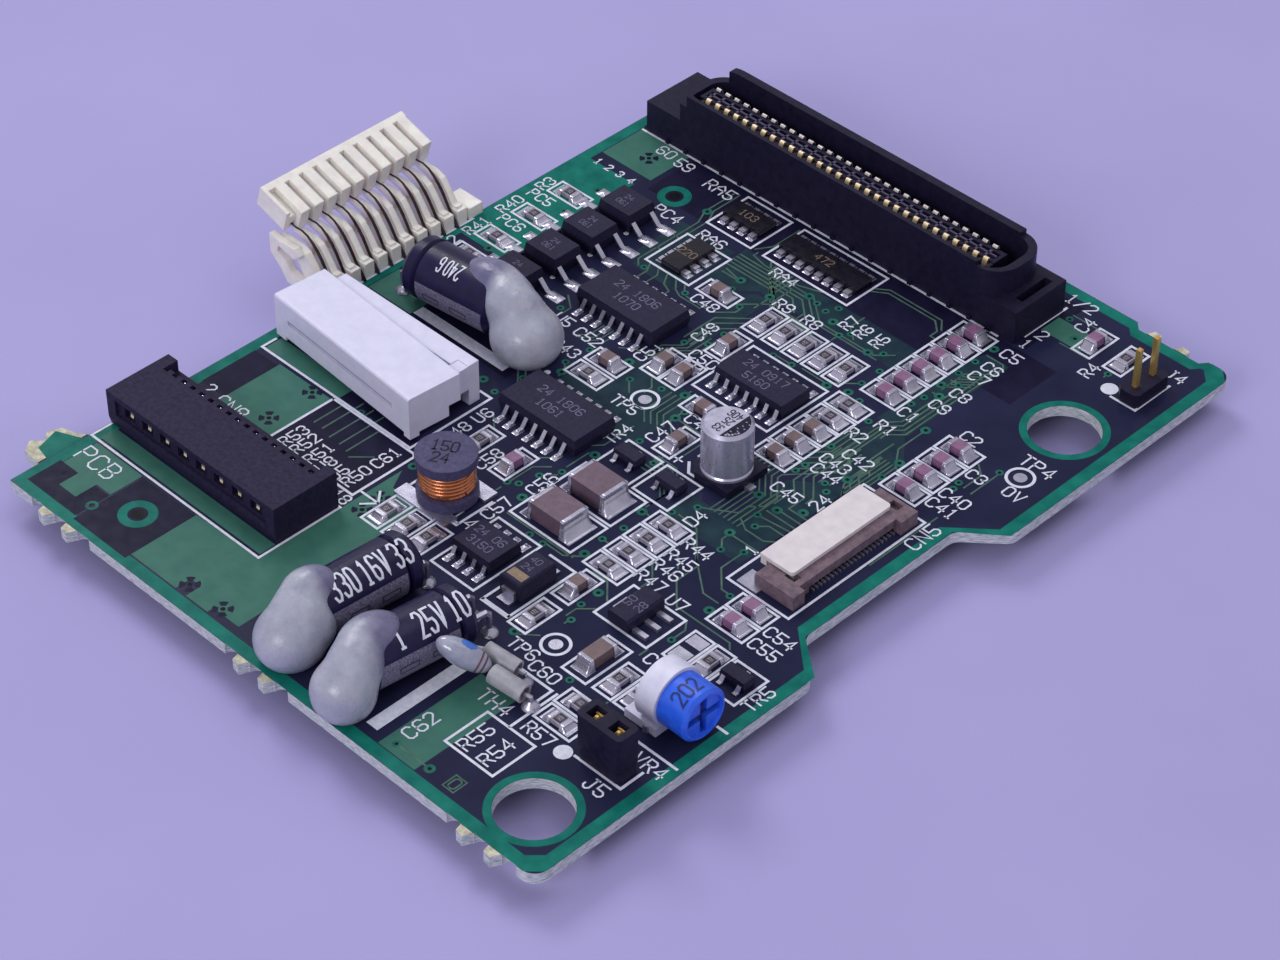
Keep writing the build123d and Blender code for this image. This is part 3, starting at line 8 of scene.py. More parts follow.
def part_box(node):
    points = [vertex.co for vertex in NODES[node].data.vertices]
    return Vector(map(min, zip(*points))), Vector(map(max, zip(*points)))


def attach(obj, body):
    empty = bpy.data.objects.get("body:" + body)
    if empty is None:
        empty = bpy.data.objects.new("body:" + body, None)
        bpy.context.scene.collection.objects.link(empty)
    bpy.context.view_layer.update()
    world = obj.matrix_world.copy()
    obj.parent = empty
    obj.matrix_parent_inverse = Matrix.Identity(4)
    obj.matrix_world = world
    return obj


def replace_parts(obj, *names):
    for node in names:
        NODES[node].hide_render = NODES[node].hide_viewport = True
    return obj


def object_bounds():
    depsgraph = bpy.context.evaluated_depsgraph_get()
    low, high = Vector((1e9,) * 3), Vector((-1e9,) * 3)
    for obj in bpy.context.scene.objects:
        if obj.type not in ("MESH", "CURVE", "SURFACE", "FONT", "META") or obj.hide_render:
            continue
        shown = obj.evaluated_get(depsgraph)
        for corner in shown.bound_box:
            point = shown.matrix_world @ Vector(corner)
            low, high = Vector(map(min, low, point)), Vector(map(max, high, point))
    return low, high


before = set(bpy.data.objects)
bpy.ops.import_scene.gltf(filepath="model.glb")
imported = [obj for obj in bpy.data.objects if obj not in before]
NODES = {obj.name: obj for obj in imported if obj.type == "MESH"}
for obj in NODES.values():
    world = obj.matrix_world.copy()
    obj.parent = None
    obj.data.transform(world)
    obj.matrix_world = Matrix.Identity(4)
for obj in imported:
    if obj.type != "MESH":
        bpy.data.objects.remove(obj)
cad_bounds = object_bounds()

MM = 0.001
MICRON = 1e-6
# The laminate's front left corner, in mm from the front mounting hole. Places below are board
# millimetres: from that corner, with z = 0 on the component face.
CORNER = (-63.2, -5.4)
BOARD_W, BOARD_L, BOARD_T = 68.9, 91.0, 1.2
MOUNTING_HOLES = ((63.2, 5.4), (62.8, 73.6))
HOLE_RADIUS = 3.52
TEST_POINTS = ((64.3, 65.5), (32.4, 49.1), (50.4, 20.2))


# ------------------------------------------------------------ small helpers
def at(x, y, z=0.0):
    """A point given in board millimetres, in metres in the frame."""
    return Vector(((x + CORNER[0]) * MM, (y + CORNER[1]) * MM, z * MM))


def board_mm(p):
    """The same, backwards."""
    return Vector((p.x / MM - CORNER[0], p.y / MM - CORNER[1], p.z / MM))


def middle(box):
    return (box[0].x + box[1].x) / 2, (box[0].y + box[1].y) / 2


def points(text):
    """Reads points written as "x,y x,y"."""
    return [tuple(float(n) for n in pair.split(",")) for pair in text.split()]


def runs(text):
    """Reads rows of points with a bar between them."""
    return [points(run) for run in text.split("|")]


def turning(degrees):
    """The cosine and sine of an angle."""
    return math.cos(math.radians(degrees)), math.sin(math.radians(degrees))


def add_piece(name, mesh, material, slot, body="board", smooth=False):
    """A visible piece made from a mesh, riding on a body."""
    mesh.polygons.foreach_set("use_smooth", [smooth] * len(mesh.polygons))
    mesh.materials.clear()
    mesh.materials.append(MATERIALS[material])
    piece = bpy.data.objects.new(name, mesh)
    bpy.context.scene.collection.objects.link(piece)
    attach(piece, body)
    return piece


def add_mesh(name, verts, faces, *looks, **more):
    mesh = bpy.data.meshes.new(name)
    mesh.from_pydata([tuple(v) for v in verts], [], faces)
    mesh.validate()
    return add_piece(name, mesh, *looks, **more)


def welded(node):
    """A CAD node's mesh with its shared corners joined."""
    bm = bmesh.new()
    bm.from_mesh(NODES[node].data)
    bmesh.ops.remove_doubles(bm, verts=bm.verts, dist=1e-7)
    return bm


def islands(node):
    """The box of each separate solid in a CAD node, in board millimetres."""
    bm = welded(node)
    seen = set()
    boxes = []
    for vert in bm.verts:
        if vert.index in seen:
            continue
        stack, found = [vert], []
        seen.add(vert.index)
        while stack:
            v = stack.pop()
            found.append(board_mm(v.co))
            for edge in v.link_edges:
                other = edge.other_vert(v)
                if other.index not in seen:
                    seen.add(other.index)
                    stack.append(other)
        boxes.append([Vector([pick(p[i] for p in found) for i in range(3)]) for pick in (min, max)])
    bm.free()
    return boxes


# ------------------------------------------------------------ materials
class Finish:
    """A procedural material: mottled colour, varied roughness and a fine bump."""

    def __init__(self, name):
        self.material = bpy.data.materials.new(name)
        self.material.use_nodes = True
        self.tree = self.material.node_tree
        self.tree.nodes.clear()
        self.shader = self.add("BsdfPrincipled")
        self.coords = self.add("TexCoord")
        self.place = self.coords.outputs["Object"]
        out = self.tree.nodes.new("ShaderNodeOutputMaterial")
        self.tree.links.new(self.shader.outputs[0], out.inputs["Surface"])

    def feed(self, node, inputs):
        """Sets a node's inputs, each to a value or to another node's output."""
        for key, value in inputs.items():
            if isinstance(value, bpy.types.NodeSocket):
                self.tree.links.new(value, node.inputs[key])
            else:
                node.inputs[key].default_value = value

    def add(self, kind, inputs=None, **settings):
        node = self.tree.nodes.new("ShaderNode" + kind)
        for key, value in settings.items():
            setattr(node, key, value)
        self.feed(node, inputs or {})
        return node

    def set(self, **values):
        """Sets inputs of the surface shader, with _ for each space in a name."""
        self.feed(self.shader, {key.replace("_", " "): value for key, value in values.items()})

    def noise(self, scale, detail=4.0, stretch=None):
        place = self.place
        if stretch:
            place = self.add("Mapping", {"Scale": stretch, "Vector": place}).outputs[0]
        look = {"Scale": scale, "Detail": detail, "Roughness": 0.55, "Vector": place}
        return self.add("TexNoise", look).outputs["Fac"]

    def ramp(self, fac, *stops):
        """Colours along fac, each stop a position and a colour of 0 to 255."""
        node = self.add("ValToRGB", {"Fac": fac})
        while len(node.color_ramp.elements) < len(stops):
            node.color_ramp.elements.new(0.5)
        for element, (position, color) in zip(node.color_ramp.elements, stops):
            element.position = position
            element.color = [linear(c) for c in color] + [1.0]
        return node.outputs["Color"]

    def tones(self, fac, low, high):
        return self.ramp(fac, (0.3, low), (0.7, high))

    def span(self, fac, low, high, start=0.3, end=0.7):
        ends = {"From Min": start, "From Max": end, "To Min": low, "To Max": high}
        return self.add("MapRange", {"Value": fac, **ends}).outputs[0]

    def mix(self, fac, a, b):
        """Between two colours; the sockets after 5 are the colour ones."""
        return self.add("Mix", {0: fac, 6: a, 7: b}, data_type="RGBA").outputs[2]

    def math(self, operation, a, b=0.0):
        return self.add("Math", {0: a, 1: b}, operation=operation).outputs[0]

    def split(self, vector):
        return self.add("SeparateXYZ", {0: vector}).outputs

    def bump(self, height, depth, soften=0.0):
        """depth is that of the bump and soften the radius of rounded edges, both in microns."""
        inputs = {"Height": height, "Distance": depth * MICRON, "Strength": 1.0}
        if soften:
            inputs["Normal"] = self.add("Bevel", {"Radius": soften * MICRON}, samples=4).outputs[0]
        self.set(Normal=self.add("Bump", inputs).outputs[0])


def linear(c):
    c = c / 255.0
    return c / 12.92 if c <= 0.04045 else ((c + 0.055) / 1.055) ** 2.4


def finish(name, low, high, grain, rough, bump=(4000, 4), soften=0.0, stretch=None, **fixed):
    """low and high are the ends of the colour and of rough, and grain is the noise per metre."""
    f = Finish(name)
    f.set(Base_Color=f.tones(f.noise(grain, stretch=stretch), low, high),
          Roughness=f.span(f.noise(grain * 1.7), *rough), **fixed)
    f.bump(f.noise(bump[0], detail=3, stretch=stretch), bump[1], soften)
    return f.material


def mask_finish(name, low, high, rough=(0.28, 0.42), grain=500):
    return finish(name, low, high, grain, rough, bump=(3000, 3), Specular_IOR_Level=0.05)


def laminate_finish():
    """Solder mask above and below, glass fibre where the board is cut or torn."""
    f = Finish("laminate_mask")
    mask = f.tones(f.noise(160, 5), (30, 31, 58), (40, 42, 72))
    weave = f.noise(1500, 3, stretch=(1, 1, 9))
    cut = f.ramp(weave, (0.3, (120, 142, 142)), (0.5, (190, 192, 200)), (0.75, (232, 230, 236)))
    torn = f.tones(weave, (160, 156, 138), (216, 212, 194))
    level = f.span(f.math("ABSOLUTE", f.split(f.coords.outputs["Normal"])["Z"]), 0.0, 1.0, 0.4, 0.6)
    place = f.split(f.place)
    front = f.math("GREATER_THAN", place["Y"], CORNER[1] * MM)
    left = f.math("GREATER_THAN", place["X"], (CORNER[0] - 0.2) * MM)
    notch = f.math("MULTIPLY", f.math("GREATER_THAN", place["X"], (57.6 + CORNER[0]) * MM),
                   f.math("LESS_THAN", place["X"], (66.0 + CORNER[0]) * MM))
    rear_edge = f.math("SUBTRACT", (BOARD_L + CORNER[1]) * MM, f.math("MULTIPLY", notch, 0.75 * MM))
    rear = f.math("LESS_THAN", place["Y"], rear_edge)
    masked = f.math("MULTIPLY", f.math("MULTIPLY", level, front), f.math("MULTIPLY", left, rear))
    f.set(Base_Color=f.mix(masked, f.mix(level, cut, torn), mask),
          Roughness=f.span(masked, 0.85, 0.24, 0.0, 1.0), Specular_IOR_Level=0.06)
    f.bump(f.noise(2600, 4), 6)
    return f.material


def glue_finish():
    """Clouded hot-melt glue: milky where it is thick, darker where it films over a can."""
    f = Finish("hot_glue")
    cloud = f.noise(420, 5)
    thick = f.tones(cloud, (146, 148, 170), (176, 178, 194))
    thin = f.tones(cloud, (88, 86, 122), (120, 118, 152))
    film = f.add("Attribute", attribute_name="film").outputs["Fac"]
    f.set(Base_Color=f.mix(film, thick, thin), Roughness=f.span(f.noise(900), 0.2, 0.4),
          Subsurface_Weight=0.35, Subsurface_Scale=0.0012, IOR=1.5)
    f.bump(f.noise(1100, 4), 80)
    return f.material


MATERIALS = {
    "laminate": laminate_finish(),
    "glue": glue_finish(),
    "pour": mask_finish("mask_over_copper", (58, 104, 96), (66, 114, 103)),
    "teal": mask_finish("mask_over_clear_glass", (10, 94, 88), (26, 120, 108)),
    "deep": mask_finish("mask_over_dark_glass", (22, 20, 44), (31, 29, 58)),
    "busy": mask_finish("mask_over_fine_copper", (26, 42, 58), (38, 60, 70)),
    "trace": mask_finish("mask_over_trace", (66, 92, 86), (88, 116, 102), grain=900),
    "ring": mask_finish("mask_over_ring", (26, 84, 80), (48, 112, 98), grain=900),
    "hole": mask_finish("plugged_hole", (6, 10, 14), (16, 22, 28)),
    "ink": finish("legend_ink", (196, 198, 220), (222, 224, 240), 1800, (0.5, 0.65), (6000, 4)),
    "solder": finish("solder", (168, 164, 186), (204, 200, 218), 500, (0.2, 0.32), (700, 2), Metallic=0.8),
    "tin": finish("tin_plate", (172, 170, 192), (206, 204, 222), 500, (0.22, 0.34), (2000, 1),
        Metallic=0.85),
    "gold": finish("gold_flash", (214, 172, 92), (236, 200, 122), 300, (0.22, 0.3), (2000, 1),
        Metallic=0.75),
    # contact tips: their metal colour lightened into a painted highlight
    "tip_pale_highlight": finish("contact_tip", (176, 166, 168), (206, 196, 194), 500, (0.3, 0.4), (2000, 1),
        Metallic=0.4),
    "flash": finish("gold_contact_painted_highlight", (240, 212, 170), (253, 232, 196), 500, (0.3, 0.4), (2000, 1),
        Metallic=0.25),
    "network": finish("network_body", (14, 12, 24), (24, 21, 36), 900, (0.22, 0.34), (3000, 1), soften=50,
        Specular_IOR_Level=0.3),
    "code": finish("network_code", (112, 92, 74), (138, 114, 92), 2000, (0.4, 0.5), (4000, 2)),
    "aged": finish("aged_lead", (34, 24, 30), (74, 56, 58), 1500, (0.3, 0.5), (3000, 6), Metallic=0.7),
    "black": finish("black_moulding", (23, 20, 42), (33, 29, 55), 1400, (0.42, 0.56), (9000, 6), soften=80,
        Specular_IOR_Level=0.14),
    "socket": finish("socket_moulding", (34, 29, 54), (48, 42, 70), 2400, (0.5, 0.64), (9000, 6), soften=80,
        Specular_IOR_Level=0.1),
    "cream": finish("cream_moulding", (226, 220, 218), (244, 240, 234), 700, (0.42, 0.56), (2500, 10),
        soften=200, Subsurface_Weight=0.25, Subsurface_Scale=0.0006),
    "white": finish("white_moulding", (208, 206, 234), (217, 215, 241), 900, (0.36, 0.5), (5000, 4),
        soften=120, Subsurface_Weight=0.1, Subsurface_Scale=0.0004),
    # the white moulding darkened: painted shade for the slider's groove
    "shade": finish("white_moulding_painted_groove_shade", (128, 126, 158), (152, 150, 180), 900, (0.5, 0.6), (4000, 3)),
    "brown": finish("brown_moulding", (92, 74, 88), (124, 104, 116), 1600, (0.4, 0.55), (5000, 5),
        soften=40, Specular_IOR_Level=0.25),
    "latch": finish("latch_moulding", (208, 199, 208), (224, 215, 220), 900, (0.42, 0.55), (4000, 4),
        soften=60),
    "sleeve": finish("shrink_sleeve", (24, 20, 54), (34, 28, 68), 500, (0.26, 0.4), (1500, 10),
        Specular_IOR_Level=0.22),
    "stripe": finish("sleeve_stripe", (58, 54, 82), (136, 130, 158), 6500, (0.4, 0.55), (3000, 5)),
    "bung": finish("rubber_bung", (30, 26, 34), (52, 46, 56), 1200, (0.6, 0.75), (3000, 10),
        Specular_IOR_Level=0.2),
    "aluminium": finish("drawn_aluminium", (182, 178, 206), (208, 204, 228), 900, (0.24, 0.36), (2500, 4),
        stretch=(1, 1, 0.06), Metallic=0.7),
    "ferrite": finish("ferrite", (62, 58, 92), (82, 78, 116), 2600, (0.45, 0.6), (5000, 12), soften=100,
        Specular_IOR_Level=0.2),
    "copper": finish("enamelled_copper", (178, 98, 58), (216, 130, 82), 500, (0.18, 0.3), (1500, 1),
        Metallic=0.75, Coat_Weight=0.6, Coat_Roughness=0.12),
    "epoxy": finish("package_epoxy", (30, 27, 50), (42, 38, 66), 3000, (0.45, 0.6), (9000, 8), soften=60,
        Specular_IOR_Level=0.14),
    "mark": finish("laser_mark", (84, 78, 112), (112, 106, 140), 3000, (0.5, 0.7), (9000, 4)),
    "ceramic": finish("fired_ceramic", (96, 76, 82), (116, 94, 98), 1300, (0.35, 0.5), (4000, 6),
        soften=60),
    "mauve": finish("mauve_ceramic", (118, 78, 116), (142, 98, 138), 1300, (0.35, 0.5), (4000, 6),
        soften=60),
    "reddish": finish("red_ceramic", (88, 66, 84), (108, 84, 104), 1300, (0.35, 0.5), (4000, 6), soften=60),
    "film": finish("resistor_body", (132, 124, 148), (162, 154, 176), 1500, (0.3, 0.45), (4000, 4),
        soften=40),
    "glaze": finish("resistor_glaze", (34, 29, 38), (48, 42, 50), 900, (0.22, 0.32), (3000, 1)),
    "trimwhite": finish("trimmer_ring", (206, 204, 232), (224, 222, 244), 900, (0.3, 0.42), (4000, 4),
        soften=100),
    "trimblue": finish("trimmer_drum", (30, 84, 220), (48, 106, 240), 900, (0.25, 0.4), (4000, 4),
        soften=100),
    # ink for the drum's number, and painted shade for the floor of its slot
    "navy": finish("drum_ink_and_slot_shade", (14, 26, 96), (24, 40, 120), 900, (0.4, 0.5), (4000, 4)),
    "dark": finish("dark_ink", (40, 38, 58), (62, 58, 84), 2500, (0.5, 0.6), (4000, 4)),
    "blue": finish("bead_spot", (48, 96, 190), (70, 124, 214), 900, (0.2, 0.3), (1500, 10)),
    "rust": finish("bead_band", (88, 58, 62), (120, 84, 86), 900, (0.2, 0.3), (1500, 10)),
    "rib": finish("comb_rib", (50, 44, 74), (68, 60, 94), 1400, (0.4, 0.55), (9000, 4)),
    "bead": finish("bead_coating", (130, 134, 158), (166, 168, 190), 600, (0.12, 0.22), (1500, 10),
        Coat_Weight=0.7, Coat_Roughness=0.08),
    "tube": finish("milky_tube", (138, 138, 152), (176, 174, 184), 700, (0.3, 0.45), (1200, 30),
        stretch=(1, 1, 1), Subsurface_Weight=0.2, Subsurface_Scale=0.0006),
}
# the material of each CAD node, where it isn't tin
NODE_FINISH = {
    "laminate": "laminate",
    "black": "board_connector_housing pin_header_base jumper_header_base jumper_shunt_shell "
             "surface_capacitor_base",
    "gold": "board_connector_front_contacts pin_header_pins jumper_header_pins jumper_shunt_clip",
    "socket": "signal_socket_housing",
    "cream": "edge_connector_housing edge_connector_base",
    "aged": "edge_connector_leads",
    "white": "power_connector_housing power_connector_slider",
    "brown": "flat_cable_socket_body",
    "latch": "flat_cable_lock",
    "trimwhite": "trimmer_case",
    "trimblue": "trimmer_rotor",
    "sleeve": "front_electrolytic_can middle_electrolytic_can rear_electrolytic_can",
    "glue": "front_glue middle_glue rear_glue",
    "aluminium": "surface_capacitor_can",
    "ferrite": "inductor_core",
    "copper": "inductor_winding",
    "bead": "thermistor_bead",
    "tube": "thermistor_sleeves",
    "epoxy": "rear_logic_chip middle_logic_chip amplifier_chip converter_chip regulator_body "
             "rectifier_body transistor_bodies optocoupler_bodies",
    "film": "chip_resistors",
    "ceramic": "chip_capacitors",
    "solder": "chip_end_caps resistor_network_ends",
    "network": "resistor_networks",
}
finish_of = {node: key for key, nodes in NODE_FINISH.items() for node in nodes.split()}
for name, node in NODES.items():
    node.data.materials.clear()
    node.data.materials.append(MATERIALS[finish_of.get(name, "tin")])


# ------------------------------------------------------------ flat art
# Strokes of each letter: corners on a grid 4 wide and 6 high, with a bar between strokes.
GLYPHS = {
    "0": "10 30 41 45 36 16 05 01 10", "1": "15 26 20|10 30", "2": "05 16 36 45 44 00 40",
    "3": "05 16 36 45 44 33 23|33 42 41 30 10 01", "4": "30 36 02 42",
    "5": "46 06 03 33 42 41 30 10 01", "6": "45 36 16 05 01 10 30 41 42 33 03", "7": "06 46 20",
    "8": "13 04 05 16 36 45 44 33 13 02 01 10 30 41 42 33", "9": "01 10 30 41 45 36 16 05 04 13 43",
    "A": "00 04 26 44 40|03 43", "B": "00 06 36 45 44 33 03|33 42 41 30 00",
    "C": "45 36 16 05 01 10 30 41", "D": "00 06 36 45 41 30 00", "H": "00 06|40 46|03 43",
    "J": "02 01 10 20 31 36|26 46", "L": "06 00 40", "N": "00 06 40 46", "P": "00 06 36 45 44 33 03",
    "R": "00 06 36 45 44 33 03|23 40", "T": "06 46|26 20", "U": "06 01 10 30 41 46",
    "V": "06 20 46", "+": "03 43|25 21", "/": "00 46",
}


class Flat:
    """Thin shapes on one layer or wrapped by place, in millimetres and joined in one mesh."""

    def __init__(self, z, place=None):
        self.z = z
        self.place = place or (lambda x, y: at(x, y, z))
        self.wraps = place is not None
        self.verts = []
        self.faces = []

    def strip(self, pairs, closed=False):
        """Quads from each pair of points to the next."""
        start, count = len(self.verts), len(pairs)
        self.verts += [self.place(*p) for pair in pairs for p in pair]
        for i in range(count if closed else count - 1):
            a, b = start + 2 * i, start + 2 * ((i + 1) % count)
            self.faces.append([a, a + 1, b + 1, b])

    def poly(self, corners):
        start = len(self.verts)
        self.verts += [self.place(x, y) for x, y in corners]
        order = list(range(start, len(self.verts)))
        area = sum(a[0] * b[1] - b[0] * a[1] for a, b in zip(corners, corners[1:] + corners[:1]))
        self.faces.append(order if area > 0 else order[::-1])

    def rect(self, x0, y0, x1, y1):
        self.poly([(x0, y0), (x1, y0), (x1, y1), (x0, y1)])

    def line(self, path, width, closed=False):
        """A strip with mitred joints along straight runs, cut short where it is wrapped."""
        if self.wraps:
            ends = list(zip(path, path[1:] + path[:1] if closed else path[1:]))
            path = [(a[0] + (b[0] - a[0]) * k / 8, a[1] + (b[1] - a[1]) * k / 8)
                    for a, b in ends for k in range(8)] + ([] if closed else [ends[-1][1]])
        pts = [Vector(p) for p in path]
        half = width / 2
        pairs = []
        for i, p in enumerate(pts):
            before = pts[i - 1] if closed or i > 0 else None
            after = pts[(i + 1) % len(pts)] if closed or i < len(pts) - 1 else None
            came = (p - before).normalized() if before is not None else (after - p).normalized()
            goes = (after - p).normalized() if after is not None else came
            mean = came + goes
            tangent = mean.normalized() if mean.length > 1e-6 else goes
            normal = Vector((-tangent.y, tangent.x))
            mitre = half * min(1.0 / max(normal.dot(Vector((-goes.y, goes.x))), 0.35), 2.0)
            if before is None:
                p = p - goes * half * 0.8
            elif after is None:
                p = p + came * half * 0.8
            pairs.append((p + normal * mitre, p - normal * mitre))
        self.strip(pairs, closed)

    def ring(self, x, y, inner, outer, steps=24, first=0.0, last=360.0):
        closed = last - first >= 360
        pairs = []
        for i in range(steps if closed else steps + 1):
            c, s = turning(first + (last - first) * i / steps)
            pairs.append([(x + r * c, y + r * s) for r in (inner, outer)])
        self.strip(pairs, closed)

    def disc(self, x, y, radius, steps=18):
        spokes = [turning(360 * i / steps) for i in range(steps)]
        self.poly([(x + radius * c, y + radius * s) for c, s in spokes])

    def sheet(self, x0, y0, x1, y1, nx, ny, keep=None):
        """A rectangle in small squares, or those of them whose middle keep accepts."""
        for i in range(nx):
            for j in range(ny):
                a, b = x0 + (x1 - x0) * i / nx, x0 + (x1 - x0) * (i + 1) / nx
                c, d = y0 + (y1 - y0) * j / ny, y0 + (y1 - y0) * (j + 1) / ny
                if keep is None or keep((a + b) / 2, (c + d) / 2):
                    self.rect(a, c, b, d)

    def frame(self, x0, y0, x1, y1, width=0.26):
        self.line([(x0, y0), (x1, y0), (x1, y1), (x0, y1)], width, closed=True)

    def text(self, words, x, y, height=1.35, turn=0, width=0.18, stretch=0.62, gap=1.5):
        """Plain stroke letters from a left baseline corner."""
        unit = height / 6.0
        c, s = turning(turn)
        pen = 0.0
        for letter in words:
            for stroke in GLYPHS.get(letter, "").split("|"):
                path = []
                for corner in stroke.split():
                    u = pen + int(corner[0]) * unit * stretch * 1.5
                    v = int(corner[1]) * unit
                    path.append((x + u * c - v * s, y + u * s + v * c))
                if path:
                    self.line(path, width)
            pen += unit * (4 * stretch * 1.5 + gap)

    def build(self, name, material, slot="laminate", body="board"):
        faces = [face[::-1] for face in self.faces] if self.z < -0.5 else self.faces
        return add_mesh(name, self.verts, faces, material, slot, body)


def layer(name, material, z, rects="", polys=""):
    """A layer of plain areas: rects are pairs of opposite corners."""
    flat = Flat(z)
    for corner, opposite in runs(rects) if rects else []:
        flat.rect(*corner, *opposite)
    for outline in runs(polys) if polys else []:
        flat.poly(outline)
    flat.build(name, material)


def board_outline(inset):
    """The laminate's outline drawn in by inset."""
    i, w, l = inset, BOARD_W - inset, BOARD_L - inset
    recess, chamfer, notch = 64.9 - inset, 1.2, 0.8
    return [(i, i), (w - chamfer, i), (w, i + chamfer), (w, 33.1), (recess, 36.2 + 0.3 * i),
            (recess, 55.6 - 0.3 * i), (w, 58.8), (w, l - chamfer), (w - chamfer, l), (66.0, l),
            (65.4, l - notch), (58.2, l - notch), (57.4, l), (i, l)]


# ------------------------------------------------------------ areas of the solder mask
RIM = 1.3
THERMALS = points("5.5,76.6 9.8,27.7 9.8,22.4 2.6,4.1 22.3,2.7 26.8,2.7 25.5,22.2 25.5,20")

teal = Flat(0.004)
teal.strip(list(zip(board_outline(RIM), board_outline(0.04))), closed=True)
teal.rect(RIM, 54.5, 7.6, 72.4)
teal.poly(points("0,4.2 -1.8,4.6 -2.6,7.2 -0.8,8 0,8.4"))
teal.build("mask_rim", "teal")
marks = Flat(0.010)
for hole in MOUNTING_HOLES:
    marks.ring(*hole, HOLE_RADIUS, 4.25, 48)
marks.ring(11.9, 73.8, 0.95, 1.75, 32)
marks.ring(11.8, 5.3, 0.95, 1.85, 32)
marks.build("mask_fiducials", "teal")
layer("mask_dark_windows", "deep", 0.006, """
    9,72.8 56.8,79.6 | 1.2,80.2 52.5,89 | 24.4,19 28.6,20.8 | 12,20.8 23.4,30.2 | 1.2,21.5 4.5,28 |
    8.2,0.8 15.6,8.8 | 1,1.2 8,5 | 7.8,42 21,47""")
layer("mask_fine_zones", "busy", 0.0075, polys="""
    23,66.2 26,66.2 28.6,68.6 46,68.9 46,72.6 23,72.6 | 28.2,58.9 30.4,58.9 30.4,68.2 28.8,68.2 26.6,66
    28.2,64.6 | 49.4,62.5 53.2,62.5 53.2,76.9 50.4,77 49.4,74 | 48.6,52 55.4,54.2 55.4,59.6 53,62.4
    49.8,61.4 48.6,59 | 44.6,38.8 54.4,38.8 54.4,53.8 49.6,50.2 49.4,42.6 44.6,42.6 | 24.6,44 36.4,43.4
    36.4,52.8 27.6,52.8 27.4,49.4 24.6,48.4 | 15.2,71.4 22.6,71.4 22.6,62.8 17.2,62.8 15.6,64""")
layer("mask_over_pours", "pour", 0.009, """
    1.4,74 8.3,79.8 | 51.6,83.5 56.2,86.2 | 4.5,20.5 12,28.3 | 1,9.6 23.6,11.4 | 48.5,1.4 53,13.2 |
    1.4,42.2 7.4,46.2 | 1.6,29 12.2,31""", """
    15.6,1.5 21.8,1.5 21.8,3.2 23.2,3.2 23.2,1.5 26.1,1.5 26.1,2.2 28,2.2 29.5,2.2 29.5,9 29,24 25.2,24
    24,26.2 24,9.2 15.6,9 | 1.4,5 3.6,5 3.6,2.8 6,2.8 6,5.2 8,5.2 8,8.9 1.4,8.9""")

gaps = Flat(0.012)
for x, y in THERMALS:
    for k in range(4):
        gaps.ring(x, y, 0.42, 0.98, 5, 18 + 90 * k, 72 + 90 * k)
gaps.build("thermal_gaps", "deep")


